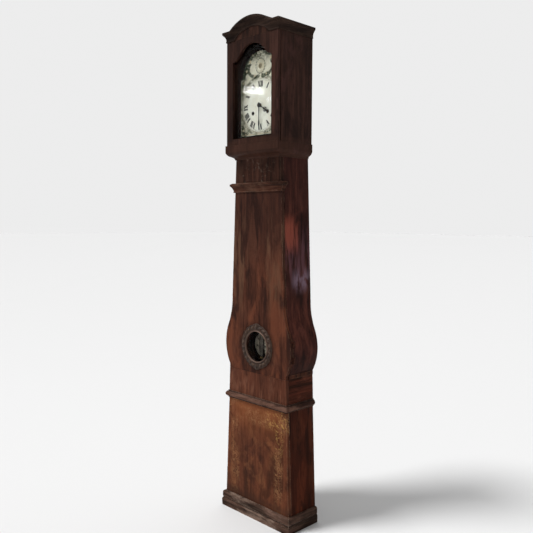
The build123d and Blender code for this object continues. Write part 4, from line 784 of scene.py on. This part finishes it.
def dial_leaves(builder):
    """Leaf sprays in the arch and the corners, mirrored about the middle, and a ring of leaves."""
    front = dial_face - 2 * paint_rise
    back = dial_face + paint_rise
    for stem in spray_stems:
        reach = sum((Vector(b) - Vector(a)).length for a, b in zip(stem, stem[1:]))
        count = max(3, int(reach / leaf_pitch))
        for side in (-1, 1):
            for index in range(count):
                share = (index + 0.5) / count
                place = curve_point(stem, share)
                ahead = curve_point(stem, min(1.0, share + 0.02)) - place
                along = math.degrees(math.atan2(ahead.y, ahead.x))
                for hand in (-1, 1):
                    angle = along + hand * leaf_random.uniform(38, 62)
                    length = leaf_random.uniform(0.0095, 0.0160) * (1 - 0.35 * share)
                    if side < 0:
                        angle = 180 - angle
                    add_leaf(builder, side * place.x, place.y, angle, length, length * 0.46, front, back)
    for leaf, (x, z) in enumerate(oval(0, rosette_height, *rosette_size, rosette_leaves)):
        add_leaf(builder, x, z, leaf * 360 / rosette_leaves + 70, 0.0105, 0.0048, front, back)


def dial_stems(builder):
    """Thin stems of the sprays."""
    for stem in spray_stems:
        places = [curve_point(stem, step / 16) for step in range(17)]
        for side in (-1, 1):
            path = [(side * place.x, dial_face - paint_rise, place.y) for place in places]
            add_tube(builder, path, stem_radius, 5)


def dial_rings(builder):
    """Two oval line rings about the middle rosette, and a pale base line."""
    for across, up in rosette_lines:
        path = [(x, dial_face - paint_rise, z) for x, z in oval(0, rosette_height, across, up, 72)]
        add_tube(builder, path, rosette_line, 6, closed=True)
    foot = dial_low[2] + base_line_foot
    top = foot + base_line_width
    outline = [(-base_line_half, foot), (base_line_half, foot), (base_line_half, top), (-base_line_half, top)]
    add_slab(builder, outline, dial_face - 2 * paint_rise, dial_face + paint_rise)


def every_blossom():
    """X, Z and radius of the flowers on both halves, and of the large one in the rosette."""
    pairs = [(side * x, z, radius) for x, z, radius in blossoms for side in (-1, 1)]
    return pairs + [(0.0, rosette_height, rosette_flower)]


def dial_blossoms(builder):
    """Five-petalled flowers on the sprays and a larger one with eight petals in the middle."""
    front, back = dial_face - 3 * paint_rise, dial_face + paint_rise
    for x, z, radius in every_blossom():
        petals = 8 if radius == rosette_flower else 5
        for petal in range(petals):
            add_leaf(builder, x, z, 90 + petal * 360 / petals, radius, radius * petal_width, front, back)


def dial_eyes(builder):
    """Small round eyes of the flowers."""
    for x, z, radius in every_blossom():
        eye = blossom_eye * radius
        add_slab(builder, oval(x, z, eye, eye, 10), dial_face - 4 * paint_rise, dial_face)


# ======== oculus ring
ring_steps = 720
ring_levels = 34
leaf_count = 22
bead_count = 76
crest_half = 16
crest_share = 0.96
crest_lobes = 14
fan_half = 15
scallop = 0.0018
rim_inset = 0.0022
pin_angles = (40, 140, 220, 320)
pin_inset = 0.0045
pin_profile = ((0.0022, 0.0030), (0.0020, 0.0042), (0.0013, 0.0052), (0.0004, 0.0056))


def swell(value, centre, reach):
    """Smooth bump of height 1 at the centre that falls to 0 at the reach."""
    share = abs(value - centre) / reach
    return 0.5 + 0.5 * math.cos(math.pi * share) if share < 1 else 0.0


def wave(angle):
    return math.cos(math.radians(angle))


def ring_ends(angle):
    """Angles from the top and from the foot of the ring."""
    return tuple(abs((angle - end + 180) % 360 - 180) for end in (90, -90))


def ring_outline(angle):
    """Outer radius of the ring: scalloped, with a crest at the top and a shell at the bottom."""
    from_top, from_foot = ring_ends(angle)
    radius = bezel_outer - rim_inset + scallop * abs(wave(angle * leaf_count / 2))
    crest = (bezel_high[2] - oculus_height - bezel_outer) * swell(from_top, 0, crest_half)
    shell = (oculus_height - bezel_low[2] - bezel_outer) * swell(from_foot, 0, crest_half)
    radius += (crest + shell) * crest_share
    if min(from_top, from_foot) < crest_lobes:
        radius -= 0.0010 * abs(wave(angle * 15))
    return radius


def ring_relief(angle, share):
    """Height of the embossing, from the inner rim at share 0 to the outline at share 1."""
    plate = 0.0022 * (1 - share) + 0.0012
    rim = 0.0046 * swell(share, 0.07, 0.08) + 0.0022 * swell(share, 0.94, 0.07)
    bead = 0.0030 * swell(share, 0.22, 0.075) * (0.5 + 0.5 * wave(angle * bead_count))
    belt = swell(share, 0.60, 0.31)
    phase = (angle * leaf_count / 360 + 0.16 * math.sin(share * 9)) % 1
    lobe = swell(phase, 0.5, 0.46) ** 0.7
    vein = 0.0012 * swell(phase, 0.5, 0.07)
    ribs = 0.0009 * wave(angle * leaf_count * 4) * swell(phase, 0.5, 0.5)
    foliage = belt * (0.0062 * lobe - vein + ribs)
    fan = 0.0
    for gap in ring_ends(angle):
        if gap < fan_half:
            ray = 0.5 + 0.5 * wave(gap * 36)
            strength = swell(gap, 0, fan_half)
            foliage *= 1 - strength
            fan += strength * (0.0048 * swell(share, 0.62, 0.42) * (0.55 + 0.45 * ray) + 0.0016 * ray * share)
    return plate + rim + bead + foliage + fan


def oculus_ring(builder):
    """Embossed ring: a polar grid of raised points, closed by a turned-back edge."""
    rings = []
    for level in range(ring_levels + 1):
        share = level / ring_levels
        ring = []
        for step in range(ring_steps):
            angle = step * 360 / ring_steps
            radius = bezel_inner + share * (ring_outline(angle) - bezel_inner)
            rise = min(ring_relief(angle, share), trunk_front - bezel_low[1])
            turn = math.radians(angle)
            place = (radius * math.cos(turn), trunk_front - rise, oculus_height + radius * math.sin(turn))
            ring.append(builder.verts.new(place))
        rings.append(ring)
    inner, outer = [[builder.verts.new((vert.co.x, trunk_front, vert.co.z)) for vert in ring]
                    for ring in (rings[0], rings[-1])]
    join_rings(builder, [inner, *rings, outer])


def ring_pins(builder):
    """Small domed pins that hold the ring to the door."""
    radius = bezel_outer - pin_inset
    for angle in pin_angles:
        x = radius * math.cos(math.radians(angle))
        z = oculus_height + radius * math.sin(math.radians(angle))
        add_boss(builder, x, z, trunk_front, pin_profile)


# ======== ropes
strand_count = 3
strand_offset = 0.5
strand_radius = 0.52
rope_lay = 0.012
lay_steps = 8


def twisted_rope(x, y, low, high, radius):
    """Makes the builder of a laid rope of three strands between two heights."""
    def build(builder):
        steps = int((high - low) / rope_lay * lay_steps)
        offset = strand_offset * radius
        for strand in range(strand_count):
            path = []
            for step in range(steps + 1):
                z = low + (high - low) * step / steps
                turn = 2 * math.pi * ((z - low) / rope_lay + strand / strand_count)
                path.append((x + offset * math.cos(turn), y + offset * math.sin(turn), z))
            add_tube(builder, path, strand_radius * radius, 6)
    return build


# ======== finishes by slot and by node
# Dark, middle, light and worn tone of each wood, then what sets it apart from plain boards.
# The first four are for slots, and the others for single nodes.
woods = {
    "case_wood": (
        ((0.020, 0.007, 0.004), (0.066, 0.022, 0.012), (0.130, 0.043, 0.021), (0.19, 0.075, 0.038)),
        {"edge": (0.22, 0.13, 0.085)},
    ),
    "head_wood": (
        ((0.017, 0.008, 0.0065), (0.031, 0.014, 0.010), (0.055, 0.024, 0.018), (0.068, 0.030, 0.022)),
        {"worn_share": 0.25, "edge": (0.10, 0.055, 0.036), "edge_share": 0.3, "stain": head_stain},
    ),
    "moulding_wood": (
        ((0.022, 0.009, 0.006), (0.074, 0.031, 0.020), (0.145, 0.068, 0.045), (0.23, 0.125, 0.090)),
        # Its stain entry paints shade in the lines along the waist moulding.
        {"grain": level_grain, "edge": (0.30, 0.19, 0.14), "stain": moulding_shade_lines},
    ),
    "inner_wood": (
        ((0.020, 0.011, 0.006), (0.048, 0.027, 0.015), (0.085, 0.050, 0.028), (0.11, 0.068, 0.040)),
        {"worn_share": 0.3, "gloss": 0.7},
    ),
    "base_front": (
        ((0.054, 0.019, 0.010), (0.115, 0.037, 0.018), (0.172, 0.056, 0.026), (0.220, 0.082, 0.036)),
        {"worn_share": 0.55, "edge": (0.34, 0.21, 0.13), "cloud": 0.7, "stain": garland},
    ),
    "base_sides": (
        ((0.018, 0.0045, 0.002), (0.046, 0.010, 0.004), (0.090, 0.020, 0.008), (0.12, 0.032, 0.014)),
        {"worn_share": 0.4, "edge": (0.30, 0.18, 0.11)},
    ),
    "lower_sides": (
        ((0.024, 0.007, 0.003), (0.076, 0.018, 0.009), (0.145, 0.037, 0.019), (0.18, 0.058, 0.034)),
        {"grain": level_grain, "edge": (0.18, 0.095, 0.060), "edge_share": 0.2},
    ),
    "lower_front": (
        ((0.048, 0.017, 0.010), (0.102, 0.034, 0.019), (0.155, 0.054, 0.030), (0.21, 0.090, 0.055)),
        {"edge": (0.18, 0.095, 0.060), "edge_share": 0.2},
    ),
    "trunk_door_panel": (
        ((0.034, 0.012, 0.008), (0.076, 0.026, 0.015), (0.118, 0.040, 0.023), (0.160, 0.062, 0.036)),
        {"edge": (0.24, 0.145, 0.095), "edge_share": 0.8, "edge_from": door_low[2] + door_foot,
         "stain": door_stain},
    ),
    "trunk_side_right": (
        ((0.016, 0.005, 0.004), (0.048, 0.014, 0.010), (0.095, 0.029, 0.020), (0.125, 0.042, 0.031)),
        {"worn_share": 0.45, "edge": (0.19, 0.10, 0.07), "stain": side_stain},
    ),
    "neck_front": (
        ((0.016, 0.0065, 0.004), (0.036, 0.014, 0.009), (0.066, 0.026, 0.017), (0.090, 0.043, 0.029)),
        {"worn_share": 0.4, "edge": (0.15, 0.09, 0.06), "stain": neck_flowers},
    ),
    # Its pale edges are rubbed wear and also a painted highlight along its top.
    "trunk_door_cornice": (
        ((0.022, 0.008, 0.005), (0.062, 0.022, 0.013), (0.105, 0.043, 0.026), (0.150, 0.078, 0.050)),
        {"grain": level_grain, "worn_share": 0.55, "edge": (0.22, 0.14, 0.10)},
    ),
    "plinth_moulding": (
        ((0.022, 0.012, 0.008), (0.095, 0.052, 0.037), (0.205, 0.125, 0.095), (0.31, 0.215, 0.165)),
        {"grain": level_grain, "worn_share": 0.7, "edge": (0.40, 0.31, 0.24), "edge_share": 0.85,
         "stain": plinth_groove},
    ),
    "cornice": (
        ((0.010, 0.006, 0.005), (0.026, 0.015, 0.011), (0.048, 0.028, 0.020), (0.068, 0.042, 0.031)),
        {"grain": level_grain, "worn_share": 0.4, "edge": (0.11, 0.072, 0.052), "edge_share": 0.25,
         "gloss": 0.6, "stain": tympanum},
    ),
}
painted_iron_nodes = ("trunk_hinge_fixed_leaves", "trunk_hinge_door_leaves", "trunk_hook")
old_brass_nodes = ("going_barrel", "going_great_wheel", "strike_great_wheel", "strike_barrel", "centre_wheel")

painted_iron = paint("painted_iron", (0.024, 0.009, 0.006), (0.062, 0.023, 0.015), 0.7, 90, 0.04)
old_brass = metal("old_brass", (0.045, 0.030, 0.016), (0.120, 0.080, 0.038), 0.48, 0.3)
finishes = {name: wood(name, tones, **settings) for name, (tones, settings) in woods.items()}
finishes.update({name: painted_iron for name in painted_iron_nodes})
finishes.update({name: old_brass for name in old_brass_nodes})
finishes.update({
    "bezel_brass": patina(),
    "bob_brass": dull_bob(),
    "rope": twine(),
    "dial_paint": painted_dial(),
    "clear_glass": glass("clear_glass", (0.97, 0.98, 0.97), 0.0, 0.11),
    # The dark tint of the oculus glass is partly painted shade, deepening the dark inside of the case.
    "dark_glass": glass("dark_glass", (0.72, 0.71, 0.68), 0.01, 0.04),
    "iron": metal("iron", (0.06, 0.055, 0.05), (0.16, 0.145, 0.13), 0.5, 0.2),
    "steel": metal("steel", (0.28, 0.27, 0.25), (0.48, 0.46, 0.43), 0.32, 0.4),
    "brass": metal("brass", (0.34, 0.20, 0.07), (0.62, 0.43, 0.17), 0.34),
    "bell_metal": metal("bell_metal", (0.26, 0.17, 0.09), (0.46, 0.33, 0.17), 0.3, 0.4, 0.0003, 34),
    "cast_iron": metal("cast_iron", (0.035, 0.033, 0.032), (0.085, 0.078, 0.072), 0.62, 0.2, 0.0012, 70),
    "hand_metal": paint("hand_black", (0.005, 0.005, 0.005), (0.014, 0.013, 0.013)),
})


# ======== assembly
def finish_nodes():
    """Gives every CAD node its finish: by its own name where it has one, and otherwise by its slot."""
    slots = {entry["node"]: entry["material_slot"] for entry in frame["record"]["subparts"]}
    for name, node in frame["nodes"].items():
        node.data.materials.clear()
        node.data.materials.append(finishes[name if name in finishes else slots[name]])


def dress_dial():
    """Adds the enamelled disc, its figures and the painted ornament to the dial plate."""
    dark = paint("figure_black", (0.006, 0.005, 0.005), (0.014, 0.012, 0.011), 0.5)
    green = paint("leaf_green", (0.014, 0.026, 0.012), (0.050, 0.064, 0.030))
    cream = paint("petal_cream", (0.52, 0.42, 0.24), (0.74, 0.66, 0.46))
    straw = paint("line_straw", (0.42, 0.33, 0.17), (0.62, 0.54, 0.36))
    coats = (("dial_disc", chapter_disc, enamel(), False), ("dial_figures", dial_figures, dark, False),
             ("dial_leaves", dial_leaves, green, False), ("dial_stems", dial_stems, green, True),
             ("dial_rings", dial_rings, straw, False), ("dial_blossoms", dial_blossoms, cream, False),
             ("dial_eyes", dial_eyes, straw, False))
    for name, mesh_maker, material, smooth in coats:
        make_piece(name, mesh_maker, material, "case", smooth)
    make_piece("winding_rims", winding_rims, finishes["iron"], "case")


def dress_door_and_hands():
    """Puts the embossed ring and its pins on the trunk door, and the finer blade on the minute hand."""
    brass = finishes["bezel_brass"]
    make_piece("oculus_ring", oculus_ring, brass, "trunk_door", node="oculus_bezel")
    make_piece("oculus_ring_pins", ring_pins, brass, "trunk_door")
    make_piece("minute_blade", minute_blade, finishes["hand_metal"], "centre", smooth=False,
               node="minute_hand")


def lay_ropes():
    """Replaces both ropes with laid ones, each carried by its weight."""
    for side, name in (("going", "going_rope"), ("strike", "strike_rope")):
        low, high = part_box(name)
        x = (low[0] + high[0]) / 2
        y = (low[1] + high[1]) / 2
        radius = (high[0] - low[0]) / 2
        build = twisted_rope(x, y, low[2], high[2], radius)
        rope = make_piece(f"{side}_laid_rope", build, finishes["rope"], f"{side}_load", node=name)
        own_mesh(rope)


# ---- floor, light and camera
def link(name, data):
    """Makes an object of some data and puts it in the scene."""
    thing = bpy.data.objects.new(name, data)
    bpy.context.scene.collection.objects.link(thing)
    return thing


def facing_along(direction):
    """Rotation that turns a light to shine in a direction."""
    return Vector(direction).to_track_quat("-Z", "Y").to_euler()


def lay_floor():
    mesh = bpy.data.meshes.new("floor")
    corners = [(-floor_half, -floor_half, 0), (floor_half, -floor_half, 0), (floor_half, floor_half, 0),
               (-floor_half, floor_half, 0)]
    mesh.from_pydata(corners, [], [(0, 1, 2, 3)])
    mesh.materials.append(studio_floor())
    link("floor", mesh)


def hang_lights():
    """Lights the clock from the left front, and puts two small lamps where the glass reflects them."""
    sun = bpy.data.lights.new("sun", "SUN")
    sun.energy = sun_strength
    sun.angle = sun_spread
    link("sun", sun).rotation_euler = facing_along(sun_direction)
    for place, aim, width, height, power in lamps:
        lamp = bpy.data.lights.new("lamp", "AREA")
        lamp.shape = "RECTANGLE"
        lamp.size = width
        lamp.size_y = height
        lamp.energy = power
        holder = link("lamp", lamp)
        holder.location = place
        holder.rotation_euler = facing_along(Vector(aim) - Vector(place))


def surround():
    """Pale backdrop as it is seen and reflected, whose light leaves the right side in soft shade."""
    world = bpy.data.worlds.new("studio")
    world.use_nodes = True
    nodes = Nodes(world.node_tree)
    place = nodes.add("ShaderNodeTexCoord").outputs["Generated"]
    facing = nodes.add("ShaderNodeVectorMath", {0: place, 1: backdrop_side}, operation="DOT_PRODUCT")
    ramp = {0: facing.outputs["Value"], 1: backdrop_start, 2: backdrop_end, 3: shade_tone, 4: backdrop_tone}
    shade = nodes.add("ShaderNodeMapRange", ramp, interpolation_type="SMOOTHSTEP").outputs[0]
    rays = nodes.add("ShaderNodeLightPath").outputs
    seen = nodes.larger(*(rays[f"Is {kind} Ray"] for kind in ("Camera", "Glossy", "Transmission")))
    tone = nodes.add("ShaderNodeMix", {0: seen, 2: shade, 3: backdrop_tone}).outputs[0]
    background = nodes.tree.nodes["Background"].inputs
    nodes.feed(background["Color"], (1, 1, 1))
    nodes.feed(background["Strength"], tone)
    bpy.context.scene.world = world


def aim_camera():
    """Places the camera and turns it on the clock."""
    data = bpy.data.cameras.new("camera")
    data.lens = camera_lens
    data.sensor_width = sensor_width
    data.clip_end = camera_reach
    camera = link("camera", data)
    up = camera_right.cross(camera_forward)
    turn = Matrix((camera_right, up, -camera_forward)).transposed()
    camera.matrix_world = Matrix.Translation(camera_place) @ turn.to_4x4()
    bpy.context.scene.camera = camera


finish_nodes()
dress_dial()
dress_door_and_hands()
lay_ropes()
lay_floor()
hang_lights()
surround()
aim_camera()
bpy.context.scene.view_settings.view_transform = "Standard"
